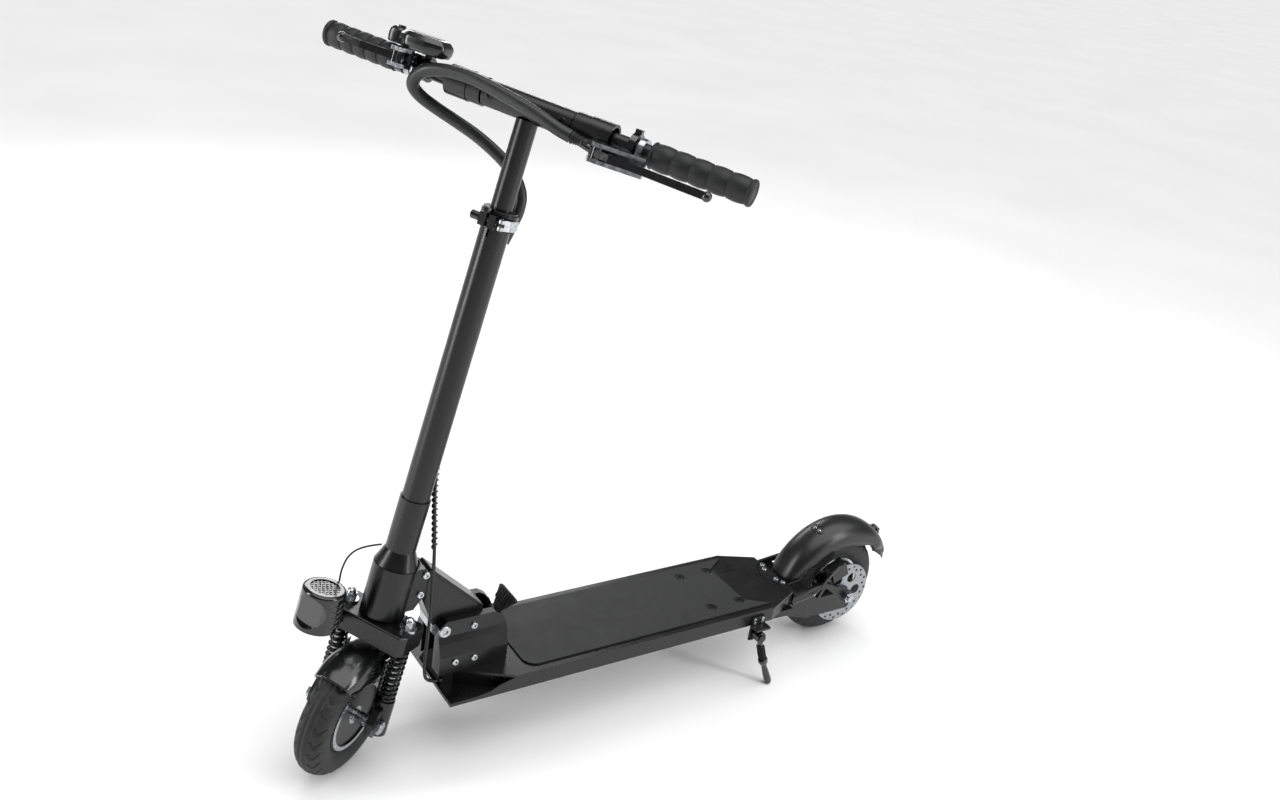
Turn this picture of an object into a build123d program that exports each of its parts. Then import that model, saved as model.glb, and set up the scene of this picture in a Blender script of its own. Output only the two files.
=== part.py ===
from build123d import *
import os
from math import asin, atan2, cos, degrees, radians, sin, sqrt, tan

# Electric kick scooter, millimetres. +X is forward, +Y is the rider's left, +Z is up.
# The model is laid out with the rear axle above x = 0 and is moved at the end so that
# the origin is the middle of its overall box, at the ground.
# The front end is laid out on the steering axis: local x ahead, y left, z up the stem.

# ---- driving sizes ---------------------------------------------------------------
WHEEL_R = 100.0            # tyre radius
WHEELBASE = 951.9          # rear axle to front axle, steered straight
TYRE_W = 48.0
TREAD_FLAT = 18.0          # width of the flat running band
SEAT_R = 57.0              # tyre seat on the rim
RAKE = 11.81               # steering axis from the vertical
STEER = 33.94              # steering angle at rest, to the left
TRAIL_F = 25.1             # front axle ahead of the steering axis
AXLE_S = -5.25             # front axle along the steering axis

DECK_W = 173.6
DECK_BOTTOM = 114.4
DECK_TOP = 143.35
PLATE_T = 4.0
TRAY_WALL = 2.5
NOSE_X = 792.7             # front edge of the deck plate
NOSE_HALF = 37.9
NOSE_CORNER_X = 708.0      # where the front chamfer starts
TAIL_X = 138.0             # rear edge of the deck plate
TAIL_HALF = 58.0
TAIL_CORNER_X = 203.0
NOTCH_R = 44.0             # round notch in the rear edge
NOTCH_X = 120.0
MAT_T = 2.4
MAT_CORNER = 22.0
LIP_X = 815.0              # front edge of the tray's low lip
LIP_Z = 120.0

PIVOT_X = 809.0            # folding axis
PIVOT_Z = 214.0
PIVOT_R = 7.0
KNUCKLE_R = 16.0
NECK_W = 40.0
HOUSING_W = 66.0           # over the upper cheeks
HOUSING_BASE_W = 90.0
HOUSING_TOP = 229.0
HOUSING_REAR = 706.0
HOUSING_FRONT = 818.0

HEAD_R = 32.5
HEAD_S0 = 153.0
HEAD_S1 = 232.0
STEERER_R = 14.25
BEARING_R = 24.0
BEARING_H = 10.0

CROWN_S0 = 120.0
CROWN_S1 = 150.0
LEG_Y = 50.0
LEG_F = 9.0
STANCHION_R = 8.0
SPRING_R = 13.0
LOWER_R = 13.5
LOWER_TOP = 32.0
TRAVEL = 12.0              # fork travel

CONE_S = 257.0
SLEEVE_R = 22.0
SLEEVE_TOP = 337.0
TUBE_R = 19.9
TUBE_TOP = 757.0
INNER_R = 14.7
BAR_S = 893.1              # handlebar axis
TEE_R = 17.5
TEE_HALF = 66.0            # middle tube of the bar, each way from the stem
TEE_CHAMFER = 1.6          # lets the collar face turn past the end
TEE_FACE = 4.0
TONGUE = 8.5               # flat part of the arm beyond the tube
TONGUE_T = 10.0
ARM_PIN_R = 4.0
ARM_HEAD_R = 6.5
LEVER_PIN_R = 3.0
PERCH_H = 25.0             # height of the brake lever housings
SHEATH_R = 8.5
SLEEVE_END = (31, 77.2, 882.3)   # where the gathered cables enter the left lever housing
ARM_PIVOT_Y = 52.0         # folding pin of each bar half
ARM_R = 11.0
COLLAR_R = 20.0
COLLAR_END = 119.0
GRIP_START = 172.8
GRIP_END = 311.0
GRIP_R = 17.5
BAND_Y = 149.0

AXLE_R = 6.0
ROTOR_R = 60.0
ROTOR_Y = 45.0
ROTOR_T = 2.2
STAY_Y = 56.0              # middle of the rear stay plates
STAY_T = 5.0
STAND_X = 237.0            # side stand hinge
STAND_Y = 97.0
STAND_Z = 98.0
FOOT_X = 207.0
FOOT_Y = 112.0

FIT = 0.05                 # radial clearance of a shaft in its hole
GAP = 0.3                  # clearance between moving neighbours

HEAD_X = WHEELBASE - TRAIL_F * cos(radians(RAKE)) + AXLE_S * sin(radians(RAKE))
LEAN = asin(sin(radians(STEER)) * sin(radians(RAKE)))      # of the steered wheel
AXLE_Z = WHEEL_R * cos(LEAN) + TREAD_FLAT / 2 * sin(LEAN)  # it then stands on the ground
HEAD_Z = AXLE_Z - TRAIL_F * cos(radians(STEER)) * sin(radians(RAKE)) - AXLE_S * cos(radians(RAKE))
NECKED = Pos(HEAD_X, 0, HEAD_Z) * Rot(0, -RAKE, 0)
STEERED = NECKED * Rot(0, 0, STEER)
PLATE_Z = DECK_TOP - PLATE_T

nodes = {}


def add(name, shape, place=None):
    """Keep one named piece, moved to its place."""
    nodes[name] = place * shape if place else shape


# ---- plain shapes ----------------------------------------------------------------
def box(x0, x1, y0, y1, z0, z1):
    middle = Pos((x0 + x1) / 2, (y0 + y1) / 2, (z0 + z1) / 2)
    return middle * Box(abs(x1 - x0), abs(y1 - y0), abs(z1 - z0))


def rod_x(radius, x0, x1, y=0.0, z=0.0):
    return Pos((x0 + x1) / 2, y, z) * Rot(0, 90, 0) * Cylinder(radius, abs(x1 - x0))


def rod_y(radius, y0, y1, x=0.0, z=0.0):
    return Pos(x, (y0 + y1) / 2, z) * Rot(90, 0, 0) * Cylinder(radius, abs(y1 - y0))


def rod_z(radius, z0, z1, x=0.0, y=0.0):
    return Pos(x, y, (z0 + z1) / 2) * Cylinder(radius, abs(z1 - z0))


def prism(face, direction, length):
    """Face thickened along a direction, whichever way round its outline was drawn."""
    face = face.face()
    facing = face if face.normal_at().dot(Vector(*direction)) > 0 else -face
    return extrude(facing, length)


def side_plate(points, y0, y1):
    """Outline in x and z, as thick as y0 to y1."""
    face = make_face(Plane.XZ * Polyline(*points, close=True))
    return Pos(0, max(y0, y1), 0) * prism(face, (0, -1, 0), abs(y1 - y0))


def flat_plate(points, z0, z1):
    """Outline in x and y, as thick as z0 to z1."""
    face = make_face(Polyline(*points, close=True))
    return Pos(0, 0, z0) * prism(face, (0, 0, 1), z1 - z0)


def both(points):
    """Half outline with y above zero, completed by its mirror image."""
    return points + [(x, -y) for x, y in reversed(points)]


def spun(points, x=0.0, z=0.0):
    """Outline of radius and y, turned about an axle along y."""
    face = make_face(Plane.XZ * Polyline(*points, close=True))
    return Pos(x, 0, z) * Rot(-90, 0, 0) * revolve(face, Axis.Z)


def cap_screw(radius, height, shank, length):
    """Round-headed screw standing on z = 0, with a hexagon socket."""
    head = fillet(rod_z(radius, 0, height).edges().group_by(Axis.Z)[-1], height * 0.4)
    socket = Pos(0, 0, height * 0.45) * extrude(RegularPolygon(radius * 0.5, 6), height)
    return head + rod_z(shank, -length, 0) - socket


def hand_side(side):
    return "left" if side > 0 else "right"


# ---- wheels ----------------------------------------------------------------------
def tyre():
    shoulder = WHEEL_R - 13.0
    half = TYRE_W / 2
    lower = Polyline((shoulder, -half), (SEAT_R + 8, -half + 1), (SEAT_R, -half + 6),
                     (SEAT_R, half - 6), (SEAT_R + 8, half - 1), (shoulder, half))
    bulge = shoulder + 9.0
    upper = ThreePointArc((shoulder, half), (bulge, half - 5.5), (WHEEL_R, TREAD_FLAT / 2))
    band = Line((WHEEL_R, TREAD_FLAT / 2), (WHEEL_R, -TREAD_FLAT / 2))
    back = ThreePointArc((WHEEL_R, -TREAD_FLAT / 2), (bulge, -half + 5.5), (shoulder, -half))
    face = make_face(Plane.XZ * (lower + upper + band + back))
    return Rot(-90, 0, 0) * revolve(face, Axis.Z)


def rim(web_t, hub_r, hub_half, bore):
    half = TYRE_W / 2 - 6
    ring = rod_y(SEAT_R, -half, half) - rod_y(SEAT_R - 4, -half - 1, half + 1)
    web = rod_y(SEAT_R - 3, -web_t / 2, web_t / 2)
    hub = rod_y(hub_r, -hub_half, hub_half)
    windows = [Rot(0, k * 60, 0) * rod_y(9.5, -20, 20, x=hub_r + 15) for k in range(6)]
    body = ring + web + hub
    for window in windows:
        body -= window
    return body - rod_y(bore, -hub_half - 1, hub_half + 1)


def bearing(outer, bore, width, y):
    return rod_y(outer, y - width / 2, y + width / 2) - rod_y(bore, y - width, y + width)


def rear_wheel():
    place = Pos(0, 0, WHEEL_R)
    add("rear_tyre", tyre(), place)
    hub_half = ROTOR_Y - ROTOR_T / 2
    bearing_r = 14.0
    pocket = 9.0
    wheel = rim(10, 20, 28, 9)
    wheel += rod_y(17, 20, hub_half) - rod_y(9, 10, hub_half + 1)
    for y in (-28, hub_half):
        inward = pocket if y < 0 else -pocket
        wheel -= rod_y(bearing_r, y, y + inward)
    add("rear_rim", wheel, place)
    races = bearing(bearing_r, AXLE_R + FIT, pocket, -28 + pocket / 2)
    races += bearing(bearing_r, AXLE_R + FIT, pocket, hub_half - pocket / 2)
    add("rear_bearings", races, place)
    rotor = rod_y(ROTOR_R, ROTOR_Y - ROTOR_T / 2, ROTOR_Y + ROTOR_T / 2)
    rotor -= rod_y(14.5, 0, 60)
    rotor -= [Rot(0, k * 60, 0) * rod_y(10, 0, 60, x=33) for k in range(6)]
    for ring_r, start in ((49.5, 0), (55.0, 12)):
        rotor -= [Rot(0, start + k * 24, 0) * rod_y(2.6, 0, 60, x=ring_r) for k in range(15)]
    add("brake_rotor", rotor, place)


def front_axle_place():
    return Pos(TRAIL_F, 0, AXLE_S)


def front_wheel():
    place = STEERED * front_axle_place()
    add("front_tyre", tyre(), place)
    half = TYRE_W / 2 - 6
    drum_r = SEAT_R - 5
    shell = rod_y(SEAT_R, -half, half) - rod_y(drum_r - 3, -half + 4, half - 4)
    shell -= rod_y(14, -half - 1, half + 1)
    add("hub_motor_shell", shell, place)
    add("hub_bearings", bearing(14, AXLE_R + FIT, 8, -half + 4) + bearing(14, AXLE_R + FIT, 8, half - 4),
        place)
    ring = rod_y(SEAT_R - 1.5, half, half + 2.6) - rod_y(SEAT_R - 8, half - 1, half + 4)
    far_ring = rod_y(SEAT_R - 1.5, -half - 2.6, -half) - rod_y(SEAT_R - 8, -half - 4, -half + 1)
    add("rim_rings", ring + far_ring, place)


# ---- fork ------------------------------------------------------------------------
def fork():
    legs = (LEG_Y, -LEG_Y)
    corner = LEG_Y + 14.0
    crown = flat_plate(both([(40, corner - 6), (30, corner), (-16, corner), (-24, corner - 8), (-24, 20)]),
                       CROWN_S0, CROWN_S1)
    crown = fillet(crown.edges().group_by(Axis.Z)[-1], 3)
    crown += rod_z(STEERER_R, CROWN_S1 - 1, CONE_S)
    crown -= rod_z(STEERER_R - 3, CROWN_S1 + 2, CONE_S + 1)
    for y in legs:
        crown -= rod_z(STANCHION_R + FIT, CROWN_S0 - 1, CROWN_S1 + 1, LEG_F, y)
    add("fork_crown", crown, STEERED)

    nut_h = 9.0
    posts = [rod_z(STANCHION_R, 5, CROWN_S1 + 4, LEG_F, y) for y in legs]
    posts += [rod_z(4, CROWN_S1 + 3, CROWN_S1 + 4 + nut_h, LEG_F, y) for y in legs]
    add("stanchions", Compound(children=[posts[0] + posts[2], posts[1] + posts[3]]), STEERED)
    nuts = []
    for y in legs:
        washer = rod_z(13, CROWN_S1, CROWN_S1 + 4, LEG_F, y)
        washer -= rod_z(STANCHION_R + FIT, CROWN_S1 - 1, CROWN_S1 + 5, LEG_F, y)
        hexagon = Pos(LEG_F, y, CROWN_S1 + 4) * extrude(RegularPolygon(9, 6), nut_h)
        hexagon -= rod_z(4 + FIT, CROWN_S1 + 3, CROWN_S1 + 4 + nut_h + 0.1, LEG_F, y)
        dome = Pos(LEG_F, y, CROWN_S1 + 4 + nut_h) * (Sphere(7) & box(-9, 9, -9, 9, 0, 9))
        nuts += [washer, hexagon + dome]
    add("crown_nuts", Compound(children=nuts), STEERED)

    for y in legs:
        coil = rod_z(SPRING_R, LOWER_TOP + GAP, CROWN_S0 - GAP, LEG_F, y)
        coil -= rod_z(STANCHION_R + 1.2, LOWER_TOP - 1, CROWN_S0 + 1, LEG_F, y)
        add("fork_spring_" + hand_side(y), coil, STEERED)

        side = 1 if y > 0 else -1
        lower = rod_z(LOWER_R, AXLE_S - 19, LOWER_TOP, LEG_F, y)
        lug = side_plate([(-2, 22), (-2, AXLE_S - 16), (TRAIL_F + 8, AXLE_S - 16),
                          (TRAIL_F + 16, AXLE_S - 6), (TRAIL_F + 16, AXLE_S + 8), (TRAIL_F + 4, 22)],
                         y - 6, y + 6)
        pad = box(LEG_F - 9, LEG_F + 9, side * (LEG_Y - 14), side * (LEG_Y - 5), -6, 24)
        lower = lower + lug + pad
        lower -= rod_z(STANCHION_R + FIT, 5 - TRAVEL - 4, LOWER_TOP + 1, LEG_F, y)
        lower -= rod_y(AXLE_R + FIT, y - 20, y + 20, TRAIL_F, AXLE_S)
        lower -= rod_y(11, side * (LEG_Y + 6), side * (LEG_Y + 20), TRAIL_F, AXLE_S)
        lower -= rod_y(9.3, side * (LEG_Y - 20), side * (LEG_Y - 6), TRAIL_F, AXLE_S)
        add("fork_lower_" + hand_side(y), lower, STEERED)

    axle = rod_y(AXLE_R, -LEG_Y - 14, LEG_Y + 14, TRAIL_F, AXLE_S)
    add("front_axle", axle, STEERED)
    axle_nuts = []
    spacers = []
    for side in (1, -1):
        nut = Pos(TRAIL_F, side * (LEG_Y + 6), AXLE_S) * Rot(-90 * side, 0, 0)
        nut *= extrude(RegularPolygon(10.5, 6), 7)
        axle_nuts.append(nut - rod_y(AXLE_R + FIT, -80, 80, TRAIL_F, AXLE_S))
        spacer = rod_y(9, side * (TYRE_W / 2 - 5), side * (LEG_Y - 6), TRAIL_F, AXLE_S)
        spacers.append(spacer - rod_y(AXLE_R + FIT, -80, 80, TRAIL_F, AXLE_S))
    add("front_axle_nuts", Compound(children=axle_nuts), STEERED)
    add("front_spacers", Compound(children=spacers), STEERED)
    stator = rod_y(SEAT_R - 11, -9, 9) - rod_y(AXLE_R + FIT, -10, 10)
    add("motor_stator", stator, STEERED * front_axle_place())

    add("front_fender", front_fender(), STEERED * front_axle_place())
    stays = []
    for side in (1, -1):
        inner = side * (LEG_Y - 14)
        stays.append(box(LEG_F - 7, LEG_F + 7, inner - side * 1.8, inner, -4, 92))
    add("fender_stays", Compound(children=stays), STEERED)


def fender_shell(outer, half, drop, wall, start, stop):
    """Curved mudguard about an axle at the origin, from one angle to the other."""
    def section(shrink):
        top = outer - shrink
        side = half - shrink
        low = outer - drop
        return [(low, -side), (top - 6, -side + 2), (top, -side + 11), (top, side - 11),
                (top - 6, side - 2), (low, side)]
    shell = spun(section(0)) - spun([(outer - drop - 1, -half + wall)] + section(wall)
                                    + [(outer - drop - 1, half - wall)])
    reach = 3 * outer
    edge_a = (reach * cos(radians(start)), reach * sin(radians(start)))
    edge_b = (reach * cos(radians(stop)), reach * sin(radians(stop)))
    middle = radians((start + stop) / 2)
    far = (reach * 2 * cos(middle), reach * 2 * sin(middle))
    keep = side_plate([(0, 0), edge_a, far, edge_b], -half - 1, half + 1)
    return shell & keep


def front_fender():
    return fender_shell(111.7, 34.0, 17.0, 2.4, 50, 140)


# ---- stem ------------------------------------------------------------------------
def stem():
    sleeve = rod_z(SLEEVE_R, CONE_S, SLEEVE_TOP)
    cone = Pos(0, 0, (HEAD_S1 + 1 + CONE_S) / 2) * Cone(HEAD_R - 0.5, SLEEVE_R, CONE_S - HEAD_S1 - 1)
    body = sleeve + cone
    body -= rod_z(STEERER_R + FIT, HEAD_S1, CONE_S + 0.1)
    body -= rod_z(TUBE_R, CONE_S + 4, SLEEVE_TOP + 1)
    body -= rod_z(STEERER_R - 2, CONE_S - 1, CONE_S + 5)
    add("stem_sleeve", body, STEERED)
    outer = rod_z(TUBE_R, CONE_S + 4, TUBE_TOP) - rod_z(INNER_R + FIT, CONE_S + 3, TUBE_TOP + 1)
    outer -= box(0, TUBE_R + 1, -1.5, 1.5, TUBE_TOP - 34, TUBE_TOP + 1)
    add("outer_tube", outer, STEERED)

    clamp_r = TUBE_R + 5.0
    s0 = TUBE_TOP - 22
    ring = rod_z(clamp_r, s0, TUBE_TOP) + rod_z(TUBE_R + 3, TUBE_TOP, TUBE_TOP + 3)
    ring -= rod_z(TUBE_R, s0 - 1, TUBE_TOP)
    ring -= rod_z(INNER_R + GAP, TUBE_TOP - 1, TUBE_TOP + 4)
    ring += box(TUBE_R + 2, TUBE_R + 13, -12, -2, s0 + 2, TUBE_TOP - 2)
    ring += box(TUBE_R + 2, TUBE_R + 13, 2, 12, s0 + 2, TUBE_TOP - 2)
    ring -= box(TUBE_R - 1, clamp_r + 9, -2, 2, s0 - 1, TUBE_TOP + 4)
    bolt_f = TUBE_R + 8
    bolt_s = TUBE_TOP - 11
    ring -= rod_y(3 + FIT, -20, 20, bolt_f, bolt_s)
    add("clamp_ring", ring, STEERED)
    bolt = rod_y(3, -24, 13, bolt_f, bolt_s) + rod_y(4.5, 12 + GAP, 14.2, bolt_f, bolt_s)
    bolt += rod_z(2, bolt_s - 9, bolt_s + 9, bolt_f, 19) + rod_y(2, 14, 19, bolt_f, bolt_s)
    add("clamp_bolt", bolt, STEERED)
    knob = rod_y(6, -25, -12 - GAP, bolt_f, bolt_s) - rod_y(3 + FIT, -24, -12, bolt_f, bolt_s)
    add("clamp_knob", fillet(knob.edges().group_by(Axis.Y)[0], 1.5), STEERED)
    cam = rod_z(4.4, bolt_s - 7, bolt_s + 7, bolt_f, 19)
    handle = flat_plate([(bolt_f, 22), (bolt_f - 10, 27.5), (bolt_f - 26, 30.5),
                         (bolt_f - 26, 27.0), (bolt_f - 10, 24.5), (bolt_f, 17)], bolt_s - 7, bolt_s + 7)
    lever = cam + handle - rod_z(2 + FIT, bolt_s - 10, bolt_s + 10, bolt_f, 19)
    lever -= box(bolt_f - 5, bolt_f + 5, 12, 19.5, bolt_s - 2.3, bolt_s + 2.3)
    lever -= box(bolt_f - 2.3, bolt_f + 5, 12, 23.5, bolt_s - 2.3, bolt_s + 2.3)
    add("clamp_lever", lever, STEERED)

    inner = rod_z(INNER_R, CONE_S + 150, BAR_S - TEE_R + 3)
    inner -= rod_z(INNER_R - 2, CONE_S + 149, BAR_S + 1)
    inner -= rod_y(TEE_R, -60, 60, 0, BAR_S)
    add("inner_tube", inner, STEERED)


# ---- lamp ------------------------------------------------------------------------
def lamp():
    lamp_f = 79.0
    lamp_y = -55.0
    s0, s1 = 133.0, 193.0
    body = rod_z(31, s0, s1, lamp_f, lamp_y)
    body = fillet(body.edges().group_by(Axis.Z)[-1], 5)
    body -= rod_z(21, s1 - 4, s1 + 1, lamp_f, lamp_y)
    body -= rod_x(24, lamp_f + 20, lamp_f + 40, lamp_y, (s0 + s1) / 2)
    fins = [box(lamp_f - 40, lamp_f - 16, lamp_y - 40, lamp_y + 40, s0 + 8 + 8 * k, s0 + 10.5 + 8 * k)
            for k in range(5)]
    ring = rod_z(40, s0, s1, lamp_f, lamp_y) - rod_z(28.5, s0 - 1, s1 + 1, lamp_f, lamp_y)
    for fin in fins:
        body -= fin & ring
    add("lamp_housing", body, STEERED)
    grille = rod_z(20.9, s1 - 4, s1 - 2, lamp_f, lamp_y)
    grille -= [box(lamp_f - 14, lamp_f + 14, lamp_y + 4 * k - 1, lamp_y + 4 * k + 1, s1 - 3, s1)
               for k in range(-3, 4)]
    add("horn_grille", grille, STEERED)
    lens = rod_x(23.8, lamp_f + 20, lamp_f + 25, lamp_y, (s0 + s1) / 2)
    add("lamp_lens", lens & rod_z(30.9, s0, s1, lamp_f, lamp_y), STEERED)
    arm = box(38, lamp_f - 31.2, -44, -38, 128, 140)
    arm += box(lamp_f - 33.5, lamp_f - 31.2, -60, -38, 128, 150)
    arm += box(34, 42.6, -44, -38, 128, 140)
    arm -= box(20, 40, -60, 0, 120, 150)
    add("lamp_bracket", arm, STEERED)


# ---- neck and folding joint ------------------------------------------------------
def neck():
    half = NECK_W / 2
    hood = rod_z(HEAD_R, HEAD_S0, HEAD_S1)
    cheeks = side_plate([(0, HEAD_S1), (-34, HEAD_S1 + 4), (-45, HEAD_S1 - 4), (-45, 192), (-34, 168),
                         (0, 160)], -25, 25)
    hood = hood + cheeks
    hood -= rod_z(BEARING_R - 4, HEAD_S0 - 1, HEAD_S1 + 8)
    hood -= rod_z(BEARING_R, HEAD_S0 - 1, HEAD_S0 + BEARING_H)
    hood -= rod_z(BEARING_R, HEAD_S1 - BEARING_H, HEAD_S1 + 8)
    hood -= rod_z(HEAD_R + 1.5, HEAD_S1 + 0.01, HEAD_S1 + 8)
    bolt_s = (226, 194)
    bolts = []
    for s in bolt_s:
        for side in (1, -1):
            seat = Pos(-37.5, side * 25, s) * Rot(-90 * side, 0, 0)
            hood -= Pos(-37.5, side * 20.5, s) * Rot(90, 0, 0) * Cylinder(3 + FIT, 9.2)
            bolts.append(seat * cap_screw(5.6, 3.6, 3, 8.9))
    add("head_housing", hood, NECKED)
    add("head_bolts", Compound(children=bolts), NECKED)
    rings = []
    for s in (HEAD_S0, HEAD_S1 - BEARING_H):
        rings.append(rod_z(BEARING_R, s, s + BEARING_H) - rod_z(STEERER_R + FIT, s - 1, s + BEARING_H + 1))
    add("headset_bearings", Compound(children=rings), NECKED)

    # gusset box between the head housing and the folding axis, in the model's own frame
    front_low = NECKED * Pos(-45, 0, 184)
    front_top = NECKED * Pos(-45, 0, 229)
    a = front_low.position
    b = front_top.position
    sweep_r = PIVOT_Z - DECK_TOP - 1.0
    rear_x = PIVOT_X - sqrt(sweep_r ** 2 - 16 ** 2)
    outline = [(a.X, a.Z), (b.X, b.Z), (rear_x, PIVOT_Z + 16), (rear_x + 8, PIVOT_Z + 4),
               (PIVOT_X - 6, PIVOT_Z + 4), (PIVOT_X + 12, PIVOT_Z)]
    shell = side_plate(outline, -half, half)
    shell += rod_y(KNUCKLE_R, -half, half, PIVOT_X, PIVOT_Z)
    hollow = side_plate([(a.X - 6, a.Z - 2), (b.X - 5, b.Z - 10), (rear_x + 25, PIVOT_Z + 18),
                         (PIVOT_X, PIVOT_Z + 19)], -half + 4, half - 4)
    shell -= hollow
    shell -= rod_y(PIVOT_R + FIT, -half - 1, half + 1, PIVOT_X, PIVOT_Z)
    add("neck_box", shell)
    slope = atan2(b.Z - PIVOT_Z - 16, b.X - rear_x)
    length = (b.X - rear_x) / cos(slope)
    rail = Pos(rear_x, 0, PIVOT_Z + 16) * Rot(0, -degrees(slope), 0)
    rail *= fillet(box(2, length - 3, -half + 2, half - 2, 0, 4).edges().group_by(Axis.Z)[-1], 1.5)
    add("neck_rail", rail)


def fold_housing():
    half = HOUSING_W / 2
    base = HOUSING_BASE_W / 2
    inner = NECK_W / 2 + 0.5
    z0 = DECK_TOP
    outline = both([(z0, base), (z0 + 30, base), (z0 + 50, half + 5), (z0 + 60, half), (HOUSING_TOP, half)])
    face = make_face(Plane.YZ * Polyline(*[(y, z) for z, y in outline], close=True))
    body = Pos(HOUSING_REAR, 0, 0) * prism(face, (1, 0, 0), HOUSING_FRONT - HOUSING_REAR)
    side_cut = side_plate([(HOUSING_FRONT - 14, HOUSING_TOP + 1), (HOUSING_FRONT + 1, HOUSING_TOP - 10),
                           (HOUSING_FRONT + 1, HOUSING_TOP + 1)], -60, 60)
    rear_cut = side_plate([(HOUSING_REAR - 1, HOUSING_TOP + 1), (HOUSING_REAR - 1, HOUSING_TOP - 26),
                           (HOUSING_REAR + 8, HOUSING_TOP - 8), (HOUSING_REAR + 22, HOUSING_TOP + 1)], -60, 60)
    body -= side_cut
    body -= rear_cut
    body -= box(HOUSING_REAR + 12, HOUSING_FRONT + 1, -inner, inner, z0 - 1, HOUSING_TOP + 1)
    body -= box(HOUSING_REAR - 1, HOUSING_REAR + 13, -13, 13, z0 + 45, HOUSING_TOP + 1)
    pin_r = PIVOT_R + FIT
    body -= rod_y(pin_r, -base, base, PIVOT_X, PIVOT_Z)
    screws = []
    for side in (1, -1):
        turn = Rot(-90 * side, 0, 0)
        for x, z, y in ((761, 213, half), (762, 183, base), (793, 183, base)):
            if y == base:
                z = z0 + 20
            body -= rod_y(3 + FIT, side * (y - 9), side * (y + 1), x, z)
            screws.append(Pos(x, side * y, z) * turn * cap_screw(5.4, 3.2, 3, 8.9))
    add("fold_housing", body)
    add("housing_screws", Compound(children=screws))
    pin = rod_y(PIVOT_R, -half, half, PIVOT_X, PIVOT_Z)
    for side in (1, -1):
        pin += Pos(PIVOT_X, side * half, PIVOT_Z) * Rot(-90 * side, 0, 0) * cap_screw(9.5, 3.6, 4, 6)
    add("fold_pin", pin)


def latch_pedal():
    hinge_x = HOUSING_REAR + 4
    hinge_z = 205.0
    plate = flat_plate([(0, 9), (28, 26), (31, 22), (31, -22), (28, -26), (0, -9)], 0, 5)
    ribs = [box(8, 29, y - 1, y + 1, 5, 7) for y in (-16, -10, -4, 4, 10, 16)]
    for rib in ribs:
        plate += rib & flat_plate([(0, 9), (28, 25), (28, -25), (0, -9)], 0, 8)
    fan = Pos(hinge_x - 6, 0, hinge_z + 3) * Rot(0, 0, 180) * Rot(0, -52, 0) * plate
    hub = rod_y(6, -11, 11, hinge_x, hinge_z)
    nose = side_plate([(hinge_x - 7, hinge_z - 1), (hinge_x - 7, hinge_z + 5), (hinge_x, hinge_z + 6),
                       (hinge_x, hinge_z)], -9, 9)
    pedal = fan + hub + nose - rod_y(3 + FIT, -30, 30, hinge_x, hinge_z)
    add("latch_pedal", pedal)
    add("pedal_pin", rod_y(3, -HOUSING_W / 2 + 8, HOUSING_W / 2 - 8, hinge_x, hinge_z))
    housing = nodes["fold_housing"]
    nodes["fold_housing"] = housing - rod_y(3 + FIT, -HOUSING_W / 2 + 7, HOUSING_W / 2 - 7, hinge_x, hinge_z)


# ---- deck ------------------------------------------------------------------------
def deck_outline(inset):
    half = DECK_W / 2 - inset
    return both([(NOSE_X - inset, NOSE_HALF - inset / 2), (NOSE_CORNER_X, half),
                 (TAIL_CORNER_X, half), (TAIL_X + inset, TAIL_HALF - inset / 2)])


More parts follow.
